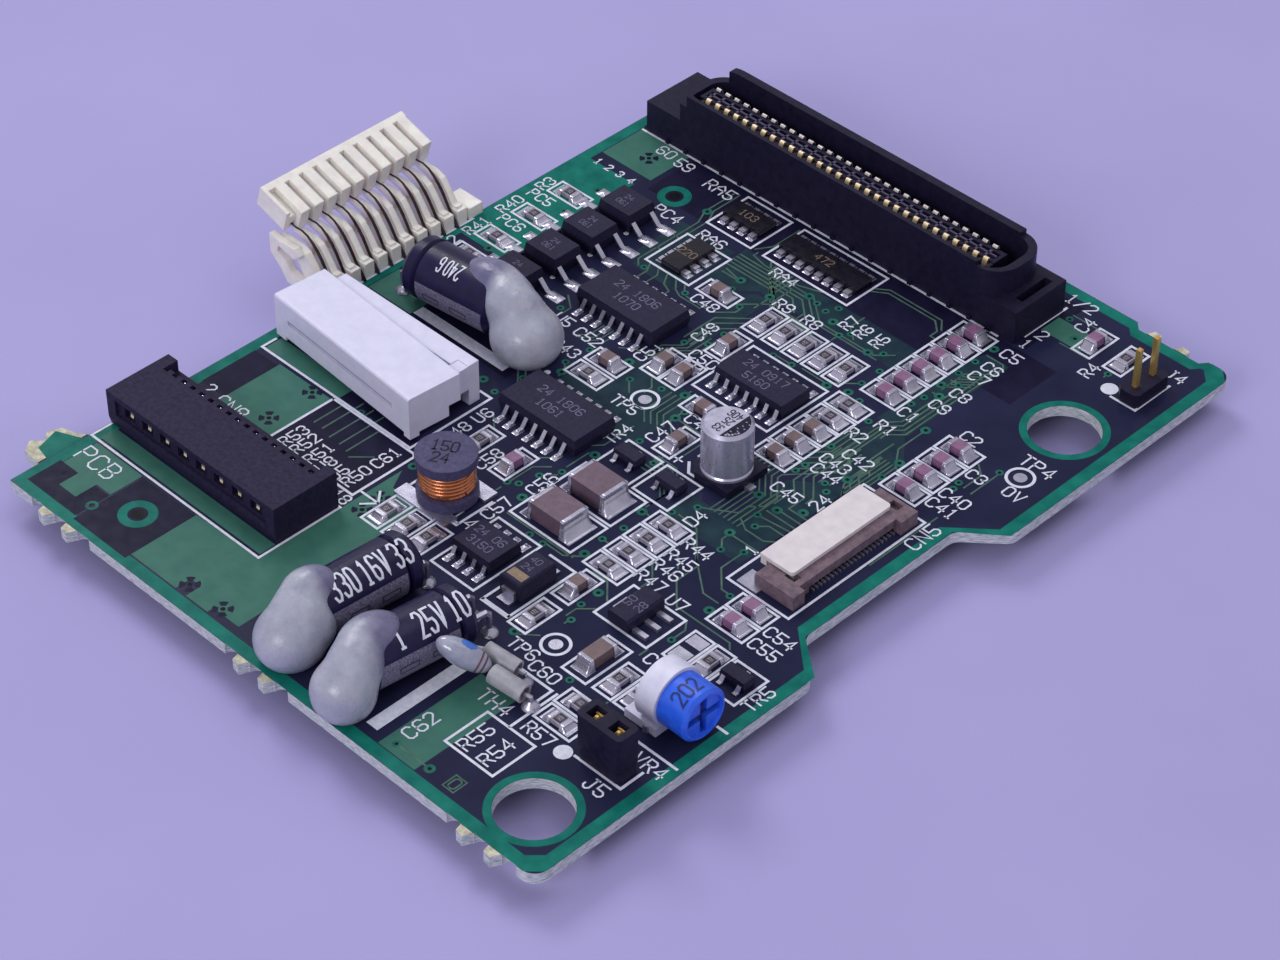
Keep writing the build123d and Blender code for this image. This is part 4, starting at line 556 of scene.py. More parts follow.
# ------------------------------------------------------------ traces and vias
TRACES = {
    "bundle under the resistor networks": """
        23.2,71.6 33,71.6 36,69.2 43,69.2 44.4,70.6 | 23.2,71.1 32.8,71.1 35.6,68.8 43.6,68.8 | 23.2,70.6
        32.4,70.6 34.8,68.5 | 23.2,70.1 31.6,70.1 33.2,68.6 | 23.2,69.6 29,69.6 31.2,67.4 31.2,62.6 |
        24.2,73 24.2,72.4 26,72 30.6,72 33.4,73 | 26,73 27.6,71.2 30,68.6 30,66.4 | 36,76.8 37.4,77.8
        44,77.8 45,76.6 | 36,76.2 37.6,77.3 43.6,77.3 44.8,76.2 44.8,75.2 45.6,75.2 | 38.5,72.8 38.5,70.8
        40,69.6 | 16.4,78.6 16.4,74.8 17.2,73.2 17.2,70.6 | 15.8,78.6 15.8,74.2 16.6,72.4 16.6,64 17.4,63.2
        | 23.6,73.2 24.6,74.8 24.6,78.6 | 23.8,69 25.6,68.6 | 23.8,68.4 26,68.4""",
    "between the network and the first logic chip": """
        18,64.2 18.6,63.2 18.6,61.8 | 19.2,64.2 19.8,63.4 19.8,61.8 | 20.4,64.2 21.2,62.9 22.4,62.4
        22.4,61.8 | 21.6,64.2 22.6,63.1 23.6,62.6 26.4,62.6 | 22.8,64.2 23.6,63.3 | 24.2,63 27.6,63
        29.2,64.6 29.2,65.6""",
    "beside the small capacitors in the middle": """
        28.2,65.4 30.6,67.8 30.6,71 | 28.4,58.4 28.4,62.6 31,65 | 29,58.4 29,62 31.2,64.2 | 29.6,58
        29.6,61.4 31,62.8 | 36.4,62.6 38.4,62.6 | 39.6,62.9 42.6,62.9 44.4,64.6 45,65.2 | 34,68.2 34,69 |
        38.6,68 38.6,69.2""",
    "bundle right of the capacitor column": """
        50.6,76.8 52.6,76.8 52.9,76.4 52.9,62.6 51.6,61.3 51.6,60.6 | 52.4,76 52.4,63 51.2,61.8 51.2,56.8
        52.8,55.2 52.8,52.4 | 50.6,71.6 51.6,71.6 51.9,71.3 51.9,63.4 50.8,62.2 50.8,57 51.8,56 51.8,52 |
        50.6,69 51.4,69 | 51.4,69 51.4,63.8 50.4,62.6 50.4,57.4 | 50,57 50,50.6 51.6,49 51.6,48.6 |
        50.5,57.2 50.5,51.4 52.4,49.4 52.4,47.4 54.8,47.4 | 51,56.6 51,52.2 53,50 53,49 | 53.8,64.4
        53.8,60.6 55.4,58.4 56,58.4 | 60.4,64.2 61.6,63.2 61.6,60.8 | 62.6,64.6 62.6,60.6 | 53.4,58.6
        53.4,54.4 54.4,53.4 | 53,60.8 53,57.4 54.4,56 | 53.8,58 53.8,55.2 54.8,54.2""",
    "into the flat cable socket": """
        51.6,46.6 54.8,46.6 | 51.2,45.8 54.8,45.8 | 51.2,44.8 54.8,45.2 | 50.2,44.6 50.2,43.4 51.6,42.6
        53.8,42.6 54.8,43.4 | 50.6,48.2 50.6,46 49.6,45 49.6,43.8 47.6,42.4 46.5,41.8 | 52,43.6 52.8,44.4
        54.8,44.4 | 51,41.2 54.8,41.2 | 51,41.2 51,40.2 51.9,39.2 | 53.6,40.2 53.6,37.4 55.6,35.4 56.4,35.4
        | 50.2,49 50.2,45.2 | 51,48.4 51,47 | 46,39.8 48.4,39.6 52,36 52,33.4 54.4,31 60.8,31 61.4,30.4 |
        48.8,38.6 54.8,33.9 56.6,33.9 | 49.2,36.4 51,34.6 | 48.8,33.6 50.4,32 50.4,30.6""",
    "around the middle": """
        36.2,50.4 36.2,48.6 37.8,47.2 | 34.6,52.2 34.6,53 | 36.2,49.2 40.6,49.2 | 40.6,50 40.6,46 |
        30.6,51.8 31.6,50.8 31.6,49.8 | 34.4,45.6 34.4,41.8 33.2,40.4 33.2,38.8 | 39.4,43.2 39.4,44.6 |
        34.2,37.2 34.2,40 | 32,32 32,35 33.2,36.2 | 33.2,34.6 34.4,35.8 | 43.4,37.8 44.2,37.8 | 43.8,35
        44.4,35 | 43.6,32.6 44.4,32.6 | 43.4,29 35,29 | 40.2,28.6 42.6,28.6 43.8,29.6 | 46,29 47.8,29
        49.6,27.2 | 48.4,23.4 48.4,24.6 49.6,25.8 | 49,22.6 49,23.4 | 48.6,20 47.2,18.8""",
    "by the second logic chip and the can with its bar": """
        21.2,46.4 21.2,44.4 23,42.6 23,40.8 | 20.6,46.2 20.6,44 22.4,42.2 | 23.4,50.4 24.2,51.2 | 23.2,47.6
        24.2,46.6 24.2,45.8 | 29.2,50.2 30.6,48.8 | 16,55 17.6,53.8 17.6,52.6 | 25.2,52.8 26.4,53.8 27,53.8
        | 13.2,28.4 13.2,25 | 14.4,30 14.4,25 | 15.8,30 15.8,24.6 | 17.2,30 17.2,24.6 | 18.4,28.4 18.4,24.4
        | 19.2,24 20.8,25.6 | 24,37.6 25.6,36.2 | 29.4,36.2 31.4,36.2 32.2,37""",
    "right side": """
        62.6,47 62.6,56 | 56.2,30.4 57,29.4 57,27.8 | 56.4,25.4 56.4,24.4 | 58.6,18.4 58.6,18 | 55.8,87.4
        52.4,87.4 | 60.4,83 60.4,82.2 | 54.2,83.2 57.6,83.2""",
    "left column": """
        5.8,69 7.2,69 | 5.9,64.2 7.2,64.2 | 6.4,58.8 7.6,58.8 | 16.4,69.2 17.2,69.2 | 16.6,66.6 17.2,66.6 |
        14.6,59.6 15.8,59.6""",
    "board front": """
        49.7,2.4 53.8,2.4 | 32,29.2 32,31""",
}
VIAS = points("""
    5.8,69 5.9,64.2 6.4,58.8 16,74.3 18,63.4 23.7,63.3 26.1,68.6 26.4,67 28.9,65.5 29.9,68.7 30.8,61.4
    30.8,59.2 50.4,78 50.4,75.3 50.4,72.9 50.4,70.4 45,67.8 45,65.3 45,63.4 46.6,63.2 49.2,61.6 42.9,62.7
    38.5,62.6 36.3,62.4 55.2,59.2 60.8,61 62.5,64.7 53.8,64.4 50.3,66.3 50.5,67.9 51.4,69 51.6,71.5 43.5,70
    42.3,69.1 38.6,69.1 39.3,70 36.8,70.2 35.2,70.9 33.8,71.2 32.5,71.5 35.8,72.1 52.5,86.7 54.8,84.7
    60.4,82.8 61,60 34.6,52.2 32.4,51.3 36.3,50.4 36.3,49.2 36.3,44.5 39.4,43.2 34.8,40.2 34.4,36.4
    33.3,34.6 34.4,31.4 32.8,32.5 31.9,31.9 43.4,37.7 43.8,35 43.5,32.6 43.8,30.1 45.3,39.6 46.5,41.7
    49.2,46.9 49.2,51.7 49.3,52.9 51.8,46.5 51,44.8 51.9,43.5 50.9,41.3 51.9,39.1 53.6,40.3 53.7,47.9
    53.2,51.5 52.3,52.3 53.4,54.1 49.2,56.5 56.7,35.3 56.7,32.7 55.4,56.6 29,57.8 5.1,54.7 16.9,53.1
    29.3,50.2 27.4,52 23.5,50.6 23.2,47.7 24,46.4 22.1,43.2 21.7,39.9 19.6,40.4 15.2,29 16.5,28.7 24.3,27.3
    38.5,28.4 40.2,28.4 48.3,27.4 48.3,25.3 49.1,23.3 46.7,18.8 57,27.7 49.7,2.4 53.8,2.4 54.4,18
    """)

traces = Flat(0.016)
for text in TRACES.values():
    for run in runs(text):
        traces.line(run, 0.17)
traces.build("traces", "trace")

rings = Flat(0.020)
holes = Flat(0.022)
for k, (x, y) in enumerate(VIAS):
    large = k % 3 == 0
    rings.ring(x, y, 0.16, 0.52 if large else 0.4, 20)
    holes.disc(x, y, 0.2 if large else 0.17, 12)
for x, y in THERMALS:
    holes.disc(x, y, 0.24, 12)
holes.disc(11.9, 73.8, 0.6, 24)
holes.disc(11.8, 5.3, 0.62, 24)
rings.ring(8.0, 3.1, 0.3, 0.62, 20)
rings.build("via_rings", "ring")
holes.build("via_holes", "hole")


# ------------------------------------------------------------ legend
PART_FRAMES = """
    17.2,73 23.2,79 | 24.9,73 36,79 | 17.2,64.4 23.1,70.3 | 34,53.8 43.6,62.1 | 35.5,39.5 39.9,43.9 |
    40.5,39.4 44.9,43.9 | 35,34.3 42.8,38.9 | 35,29.3 42.8,33.9 | 34.9,19.8 40.4,28 |
    49.8,25.4 56.2,30.3 | 62.8,25.7 66.4,29.9 | 52.8,18.6 55.7,24.2 | 52.3,5.5 58.1,10.4 |
    0.2,9.2 23.9,18.8 | 54.9,36.8 62.3,54.7 | 57.7,25.9 60,30
"""
PART_LINES = """
    11.9,28.5 23.1,28.5 23.4,28.2 23.4,20.7 11.9,20.7 11.9,28.5 | 1.3,30.5 1.3,28.8 22.2,28.8 22.2,39
    20.7,39 | 0.45,42 0.45,56.9 | 1.5,79.75 47.5,79.75 | 48,79.75 49.3,79.75 | 51.2,81.6 51.2,87.8 |
    62.7,80.4 65.6,80.4 65.6,85.5 | 61.2,12 66.6,12 66.6,14.6 | 63.7,16.9 68.3,16.9 | 67.2,22.9 68.3,22.9 |
    41.6,45.6 42.6,44.5 47.5,44.5 47.5,46 | 47.4,48.3 47.4,50 | 54.9,10.5 54.9,16 | 41.8,27.8 45,27.8
    45,19.7 | 41.7,22.4 41.7,19.7 | 26,29.8 26,24.9 28.4,24.9 | 33,29 33,24.6 30.6,24.6 | 47.7,16 54.3,16
    54.3,13.2
"""
# words with their places, by the turn and height of the letters
LABELS = {
    (0, 1.2): "18 22,19.2  U4 31.4,55",
    (0, 1.25): "RA4 27.3,71.3  PC5 1.2,63.5  PC6 2.2,58.5  PC7 2.2,49.6  C48 24.7,62.9  C3 60.5,62.1",
    (0, 1.3): "R9 30.9,68  R8 34.5,68  1 51.6,80.1  C6 51.3,74.9  C7 51.3,73  C8 51.8,69.8  C9 51.5,67.2  "
              "C1 50.2,64.3  R1 50,61.4  R2 48.8,58.7  C2 56.6,65.8  C40 60.5,58.4  C41 60.5,56.6  "
              "J4 64.2,86.4  C42 50.7,56.2  C43 49.6,54.3  C44 50,52.7  C45 49.2,48.2  R44 48.9,37  "
              "R45 48.9,34.9  R46 48.9,33.1  R47 48.9,31.1  C54 62,33.8  C55 62,31.8  U7 53.1,30.7  "
              "C46 37,49.5  TP5 30.1,46.6  C50 30.6,56.6  C52 20.5,51.2  U5 17.5,51.4  R43 20.2,48.5  "
              "2 2.3,20.6  TP6 47.3,17.2  C60 50.7,16.5  C59 57,24.1  R57 55.7,11",
    (0, 1.35): "60 5.1,77.9  59 7.9,77.6  RA6 18,70.6  2 51.9,82.2  C5 51.3,77.6  0V 64.4,62.6",
    (0, 1.4): "PC4 11.9,70.5  L4 32.1,24.9  VR4 64.8,14.9  J5 64,10  1/2 50.2,88.6",
    (0, 1.45): "TH4 50.2,10.9",
    (0, 1.5): "RA5 12.6,77.1  TP4 62.7,67  CN8 4.4,20.2",
    (0, 1.6): "+ 40.1,44.4",
    (0, 2): "PCB 1.4,6.2",
    (90, 1.2): "C49 29.9,58.9  1 54.5,40.6  TR4 34.8,42.4",
    (90, 1.25): "R3 1.9,65.2  R40 1.9,59.7  R41 2.2,54.9  R7 38.7,70.2  R6 40.5,70.2  R5 42.6,70.2  "
                "C51 28.2,52.9  R42 2.2,50.6  U6 24.1,35.8  R48 24.1,31.9  C58 29,31.4  R53 14,20.9  "
                "R52 15.6,20.9  R51 17.5,20.9  U8 19.1,20.9  D5 20.8,20.9  R50 22.3,21.2  C61 22.3,24.8",
    (90, 1.3): "R4 59.5,81  24 54.5,49  D4 48.1,39.5  C56 34.95,32.4  C57 34.5,27.2  C47 37.4,45.3  "
               "TR5 68,26.2",
    (90, 1.35): "C4 54.9,86",
    (90, 1.4): "R55 54.5,6  R54 57,6  C62 50.2,3.6",
    (90, 1.5): "CN5 64.2,51.3",
}

resistors = islands("chip_resistors")
capacitors = islands("chip_capacitors")

ink = Flat(0.030)
for lo, hi in resistors + capacitors:
    cx, cy = middle((lo, hi))
    wide, long = hi.x - lo.x, hi.y - lo.y
    if max(wide, long) > 2:
        continue
    hx, hy = (2.15, 1.08) if abs(long - 1.25) < 0.05 and wide < 1.24 else (1.08, 2.15)
    ink.frame(cx - hx, cy - hy, cx + hx, cy + hy)
for corner, opposite in runs(PART_FRAMES):
    ink.frame(*corner, *opposite)
for run in runs(PART_LINES):
    ink.line(run, 0.28)
for bar in ((46.0, 2.3, 47.4, 13.0), (7.5, 42.5, 20.0, 43.8), (41.6, 19.4, 45.1, 19.9)):
    ink.rect(*bar)
for x, y in TEST_POINTS:
    ink.ring(x, y, 1.15, 1.45, 32)
for x, y, r in ((61.9, 81.2, 0.85), (60.2, 11.6, 0.85), (12.9, 66.0, 0.28), (12.9, 61.0, 0.28),
                (12.9, 55.9, 0.28), (23.1, 45.4, 0.32)):
    ink.disc(x, y, r, 24)
for (turn, height), text in LABELS.items():
    items = text.split()
    for word, (x, y) in zip(items[::2], points(" ".join(items[1::2]))):
        ink.text(word, x, y, height, turn)
ink.text("1 2 3 4", 2.0, 72.1, 0.9)
for arrow in runs("23.6,21.6 25.9,21.6 | 24.8,22.8 25.9,21.6 24.8,20.4"):
    ink.line(arrow, 0.24)
ink.build("legend", "ink")

# ------------------------------------------------------------ fine traces
fine = Flat(0.014)
for k in range(7):
    x, y = 0.56 * k, 0.5 * k
    fine.line([(48.6 + x, 60.6 - y), (48.6 + x, 57.0 - y), (45.4 + x, 53.4 - y),
               (45.4 + x, 48.6 + 0.4 * y), (47.4 + x, 46.4 + 0.4 * y), (47.4 + x, 42.4)], 0.16)
for k in range(6):
    y = 0.55 * k
    fine.line([(27.0 + y, 72.6), (27.0 + y, 72.0 - y), (30.6 + y, 68.0 - y * 0.3),
               (35.0 + 0.8 * y, 68.0 - y * 0.3)], 0.15)
    fine.line([(52.6, 74.8 - y), (50.9, 73.2 - y), (50.9, 72.7 - y)], 0.15)
for k in range(5):
    y = 0.55 * k
    fine.line([(53.6 + y * 0.8, 58.6), (53.6 + y * 0.8, 53.4 - y), (54.9 + y * 0.2, 51.8 - y)], 0.15)
    fine.line([(39.0, 44.2 - y), (41.4, 44.2 - y), (43.2, 42.4 - y), (43.2, 40.6 - y)], 0.15)
for k in range(4):
    y = 0.6 * k
    fine.line([(31.0 - y, 60.0), (31.0 - y, 57.4), (29.6 - y, 56.0), (29.6 - y, 53.6)], 0.15)
    fine.line([(33.4 + y, 51.6), (33.4 + y, 48.0 + y * 0.4), (34.6 + y, 46.8 + y * 0.4)], 0.15)
    fine.line([(21.8 + y, 54.2), (21.8 + y, 52.2), (20.8 + y, 51.2)], 0.15)
fine.build("fine_traces", "trace")
faint = Flat(0.018)
faint.frame(55.9, 1.9, 57.2, 3.5, 0.14)
faint.text("0", 56.2, 2.1, 1.2, 0, 0.16)
faint.build("copper_mark", "trace")


# ------------------------------------------------------------ solder
class Skin:
    """Rows of points in board millimetres joined by quads, in one mesh."""

    def __init__(self):
        self.verts = []
        self.faces = []

    def rows(self, rows, closed=True, flip=False, foot=False, head=False):
        """Joins each row to the next; foot and head close the first and the last one."""
        start, count = len(self.verts), len(rows[0])
        self.verts += [at(*p) for row in rows for p in row]
        last = len(self.verts) - count
        for a in range(start, last, count):
            for j in range(count if closed else count - 1):
                k = (j + 1) % count
                face = [a + j, a + k, a + count + k, a + count + j]
                self.faces.append([face[0]] + face[:0:-1] if flip else face)
        if foot:
            self.faces.append(list(range(start, start + count))[::-1])
        if head:
            self.faces.append(list(range(last, last + count)))

    def block(self, x0, x1, y0, y1, z0, z1, foot=True):
        rows = [[(x0, y0, z), (x1, y0, z), (x1, y1, z), (x0, y1, z)] for z in (z0, z1)]
        self.rows(rows, foot=foot, head=True)

    def field(self, start, along, length, width, height, nu, nv):
        """height(u, v) in millimetres, u from 0 to 1 along and v from -1 to 1 across."""
        across = (abs(along[1]), abs(along[0]))
        rows = []
        for v in [2.0 * j / nv - 1.0 for j in range(nv + 1)]:
            side = step(start, across, v * width / 2)
            rows.append([(*step(side, along, i / nu * length), height(i / nu, v)) for i in range(nu + 1)])
        self.rows(rows if along[0] > 0 or along[1] < 0 else rows[::-1], closed=False)

    def turned(self, x, y, profile, steps=14):
        """A turned shape: profile is radius and height pairs from the rim inwards."""
        spokes = [turning(360 * i / steps) for i in range(steps)]
        rows = [[(x + r * c, y + r * s, z) for c, s in spokes] for r, z in profile]
        self.rows(rows if profile[0][1] < profile[-1][1] else rows[::-1])

    def build(self, name, material, slot, smooth=False):
        return add_mesh(name, self.verts, self.faces, material, slot, smooth=smooth)


def step(spot, along, distance):
    return spot[0] + along[0] * distance, spot[1] + along[1] * distance


def pad(start, along, near, far, half):
    """A pad from near to far along a lead's way out, half of it on each side."""
    (x0, x1), (y0, y1) = (sorted(pair) for pair in zip(step(start, along, near), step(start, along, far)))
    ex, ey = half * abs(along[1]), half * abs(along[0])
    pads.rect(x0 - ex, y0 - ey, x1 + ex, y1 + ey)


def ending(box, bodies, by_shape):
    """An end's middle, its way out from the nearest body, its depth that way and its width.

    The way out follows the end's longer side if by_shape is set, or else leads away from the body.
    """
    x, y = middle(box)
    near = min(bodies, key=lambda spot: math.dist(spot, (x, y)))
    dx, dy = x - near[0], y - near[1]
    size = box[1] - box[0]
    if size.x > size.y if by_shape else abs(dx) > abs(dy):
        return (x, y), (math.copysign(1, dx), 0), size.x, size.y
    return (x, y), (0, math.copysign(1, dy)), size.y, size.x


def chip_joint(box, lump):
    """Solder over a chip part's end cap and down to its pad; lump varies the slope."""
    spot, along, deep, wide = ending(box, chips, by_shape=False)
    top = box[1].z
    large = top > 1.5
    reach = deep + (0.85 if large else 0.62)
    spread = wide + (0.34 if large else 0.32)

    def height(u, v):
        out = u * reach
        over = max(0.0, abs(v) * spread - wide + 0.1) / (spread - wide + 0.1)
        side = math.sqrt(max(0.0, 1.0 - over * over))
        t = max(0.0, (out - deep) / (reach - deep))
        fall = 0.5 + 0.5 * math.cos(math.pi * min(1.0, t * lump) ** 0.72)
        level = top + 0.02 if out < deep + 0.03 else top * (0.5 if large else 0.72) * fall
        return max(0.03, level * side)

    start = step(spot, along, -deep / 2)
    chip_solder.field(start, along, reach, spread, height, 14, 12)
    pad(start, along, -0.06, reach + 0.1, spread / 2 + 0.04)


def lead_joints(bodies, leads, toe, side, foot):
    """Solder and pads under leads: toe is past the tip, side beside it and foot back from it."""
    middles = [middle(box) for box in islands(bodies)]
    length = foot + toe
    for box in islands(leads):
        spot, along, deep, wide = ending(box, middles, by_shape=True)
        spread = wide + 2 * side

        def height(u, v):
            out = u * length
            rise = 0.12 + 0.13 * out / foot
            fall = 0.25 * max(0.0, 1 - (out - foot) / toe) ** 1.3
            return max(0.03, (rise if out < foot else fall) * math.cos(v * math.pi / 2) ** 0.6)

        start = step(spot, along, deep / 2 - foot)
        lead_solder.field(start, along, length, spread, height, 8, 6)
        slack = 0.03 * sum(along)
        pad(start, along, min(0.0, slack), length + max(0.0, slack), spread / 2 + 0.04)


pads = Flat(0.026)
chips = [middle(box) for box in resistors + capacitors]
chip_solder = Skin()
for index, box in enumerate(islands("chip_end_caps")):
    chip_joint(box, 0.9 + 0.1 * math.sin(index * 2.4))
chip_solder.build("chip_solder", "solder", "tin_contact", smooth=True)
lead_solder = Skin()
for chip in ("rear_logic_chip", "middle_logic_chip", "amplifier_chip", "converter_chip"):
    lead_joints(chip, chip + "_leads", 0.35, 0.1, 0.75)
lead_joints("optocoupler_bodies", "optocoupler_leads", 0.45, 0.3, 1.3)
lead_joints("resistor_networks", "resistor_network_ends", 0.25, 0.06, 0.5)
lead_solder.build("lead_solder", "solder", "tin_contact", smooth=True)
pads.rect(57.95, 26.2, 59.75, 27.7)
pads.rect(57.95, 28.4, 59.75, 29.7)
for x, y in TEST_POINTS:
    pads.disc(x, y, 0.65, 20)
pads.build("pads", "tin", "tin_contact")


def wire_feet(node):
    """Where each wire of a node comes out below the board."""
    bm = welded(node)
    feet = []
    for p in (board_mm(v.co).xy for v in bm.verts if v.co.z < -2.5 * MM):
        near = [foot for foot in feet if (average(foot) - p).length < 1.0]
        if near:
            near[0].append(p)
        else:
            feet.append([p])
    bm.free()
    return [average(foot) for foot in feet]


def average(spots):
    return sum(spots, Vector((0, 0))) / len(spots)


under = Skin()
domes = Skin()
for node, radius in (
        ("board_connector_front_contacts", 0.55), ("board_connector_rear_contacts", 0.55),
        ("power_connector_pins", 0.85), ("pin_header_pins", 0.85), ("jumper_header_pins", 0.85),
        ("trimmer_terminals", 0.85), ("edge_connector_leads", 0.85)):
    for box in islands(node):
        x, y = middle(box)
        under.turned(0.5 if node == "edge_connector_leads" else x, y, [
            (radius, -1.2), (radius * 0.8, -1.34), (radius * 0.5, -1.7), (0.3, -2.1), (0.16, -2.25)])
for node in ("electrolytic_leads", "thermistor_leads"):
    for x, y in wire_feet(node):
        under.turned(x, y, [(0.9, -1.2), (0.75, -1.34), (0.45, -1.75), (0.3, -2.2), (0.2, -2.4)])
        domes.turned(x, y, [(0.85, 0.03), (0.8, 0.18), (0.6, 0.42), (0.35, 0.6), (0.26, 0.75)])
for x, y in wire_feet("signal_socket_contacts"):
    under.turned(x, y, [(0.85, -1.2), (0.7, -1.34), (0.42, -1.75), (0.3, -2.2), (0.16, -2.35)])
under.build("underside_solder", "solder", "tin_contact", smooth=True)
domes.build("wire_solder", "solder", "tin_contact", smooth=True)

# ------------------------------------------------------------ underside
back = Flat(-BOARD_T - 0.004)
for hole in MOUNTING_HOLES:
    back.ring(*hole, HOLE_RADIUS, 4.6, 48)
for x, y in VIAS:
    back.ring(x, y, 0.18, 0.36, 10)
back.build("underside_rings", "ring")
tracks = Flat(-BOARD_T - 0.0055)
for k in range(9):
    x, y = 1.27 * k, 0.62 * k
    tracks.line([(8.4 + x, 80.0), (8.4 + x, 77.0 - y * 0.6), (6.0 + y, 72.6 - y * 0.6), (6.0 + y, 55.0 + y),
                 (4.2 + y, 53.2 + y)], 0.2)
    tracks.line([(24.0 + x, 80.0), (24.0 + x, 78.2 - y * 0.5), (50.0 + y, 74.0 - y * 0.5),
                 (50.0 + y, 52.0 - y), (53.2 + y, 48.8 - y), (53.2 + y, 40.0)], 0.2)
    tracks.line([(4.0 + 2.2 * k, 19.6), (4.0 + 2.2 * k, 24.4 + y), (22.6, 24.4 + y)], 0.2)
tracks.build("underside_tracks", "trace")
layer("underside_pours", "pour", -BOARD_T - 0.006, "24,12 52,20 | 10,50 50,70 | 26,22 60,34")


# ------------------------------------------------------------ marks on the packages
def plate_marks(name, node, lines, height, material="mark", turn=0, dy=0.0, which=0):
    """Generic numbers in lines on the top of a package."""
    box = islands(node)[which]
    cx, cy = middle(box)
    c, s = turning(turn)
    marks = Flat(box[1].z + 0.006)
    for row, line in enumerate(lines):
        half = len(line) * height / 12 * (4 * 0.62 * 1.5 + 1.5)
        down = (row - (len(lines) - 1) / 2) * height * 1.6 + height / 2
        x, y = cx - half * c + down * s, cy + dy - half * s - down * c
        marks.text(line, x, y, height, turn, height * 0.11)
    marks.build(name, material, "package_moulding")


plate_marks("rear_chip_marks", "rear_logic_chip", ["24 1806", "1070"], 0.95)
plate_marks("middle_chip_marks", "middle_logic_chip", ["24 1806", "1061"], 0.95)
plate_marks("amplifier_marks", "amplifier_chip", ["24 0917", "5160"], 0.9)
plate_marks("converter_marks", "converter_chip", ["24 06", "3150"], 0.85)
plate_marks("regulator_marks", "regulator_body", ["50", "28"], 0.8, turn=90)
for k, code in enumerate(("103", "472", "220")):
    plate_marks("network_marks_%d" % k, "resistor_networks", [code], 0.9, "code", which=k)
lo, hi = (board_mm(corner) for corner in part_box("rectifier_body"))
band = Flat(hi.z + 0.006)
band.rect(lo.x + 0.35, lo.y + 0.5, hi.x - 0.35, lo.y + 1.5)
band.build("rectifier_band", "code", "package_moulding")
plate_marks("rectifier_marks", "rectifier_body", ["40", "24"], 0.7, dy=0.6)
for k in range(len(islands("optocoupler_bodies"))):
    plate_marks("opto_marks_%d" % k, "optocoupler_bodies", ["24", "061"], 0.62, which=k)

# ------------------------------------------------------------ resistor and capacitor tops
squares = Flat(0.506)
codes = Flat(0.512)
for box in resistors:
    x, y = middle(box)
    size = box[1] - box[0]
    if size.x < size.y:
        squares.rect(x - 0.46, y - 0.5, x + 0.46, y + 0.5)
        codes.text("103", x - 0.33, y - 0.22, 0.44, 0, 0.06, 0.3, 1.0)
    else:
        squares.rect(x - 0.5, y - 0.46, x + 0.5, y + 0.46)
        codes.text("472", x + 0.22, y - 0.33, 0.44, 90, 0.06, 0.3, 1.0)
squares.build("resistor_glaze", "glaze", "chip_resistor_film")
codes.build("resistor_codes", "film", "chip_resistor_film")


def jackets(name, material, boxes, grow=0.008):
    """Thin coloured jackets over the tops and sides of some capacitors."""
    skin = Skin()
    for lo, hi in boxes:
        skin.block(lo.x - grow, hi.x + grow, lo.y - grow, hi.y + grow, lo.z, hi.z + grow, foot=False)
    skin.build(name, material, "chip_capacitor_ceramic")


def is_mauve(box):
    x, y = middle(box)
    return x > 56 or abs(x - 47.7) < 0.3 or (abs(x - 30.5) < 0.3 and y < 36)


tall = [box for box in capacitors if max(box[1] - box[0]) > 2.8]
jackets("large_chip_tops", "reddish", tall)
jackets("mauve_chip_tops", "mauve", [box for box in capacitors if is_mauve(box) and box not in tall])

# ------------------------------------------------------------ sleeves of the lying capacitors
# x and y of the crown, radius, length and turn
CANS = {
    "front": (35.5, 16.7, 2.85, 11.0, -4.0),
    "middle": (43.85, 15.4, 2.8, 11.0, -7.0),
    "rear": (5.2, 45.6, 3.1, 11.0, 96.0),
}


def can_axis(can):
    """The middle of the crown, the way from it to the leads and the way across."""
    c, s = turning(can[4])
    return Vector(can[:3]), Vector((s, -c, 0)), Vector((c, s, 0))


def unrolled(can, start, lift=0.03):
    """Maps u, the way back to the crown from start, and v, the arc round from the top, to the sleeve."""
    crown, along, side = can_axis(can)
    radius = can[2]

    def place(u, v):
        out = Vector((0, 0, math.cos(v / radius))) - side * math.sin(v / radius)
        return at(*(crown + along * (start - u) + out * (radius + lift)))

    return place


# the words, their distances along, where they start, their foot and height, and the band's edges
for name, words, spots, start, foot, height, low, high in (
        ("front", ("330", "16V", "33"), (0, 3.35, 6.7), 9.3, -2.6, 2.4, -5.9, -3.3),
        ("middle", ("1", "25V", "10"), (0, 2.35, 5.7), 7.9, -2.6, 2.4, -5.9, -3.3),
        ("rear", ("240", "6"), (0, 3.35 / 1.5), 6.6, 0.7, 1.6, 4.2, 6.8)):
    can = CANS[name]
    length = can[3]
    printed = Flat(0, unrolled(can, start))
    for word, spot in zip(words, spots):
        printed.text(word, spot, foot, height, 0, 0.1 * height, 0.26, 0.95)
    printed.build(name + "_can_print", "ink", "can_sleeve")
    band = Flat(0, unrolled(can, length, 0.022))
    band.sheet(0.6, low, length - 2.1, high, 1, 12)
    band.build(name + "_can_band", "stripe", "can_sleeve")
    dashes = Flat(0, unrolled(can, length, 0.034))
    centre = (low + high) / 2
    for u in (2.6, 6.0):
        dashes.frame(u, centre - 0.32, u + 1.9, centre + 0.32, 0.14)
    dashes.build(name + "_can_dashes", "dark", "can_sleeve")


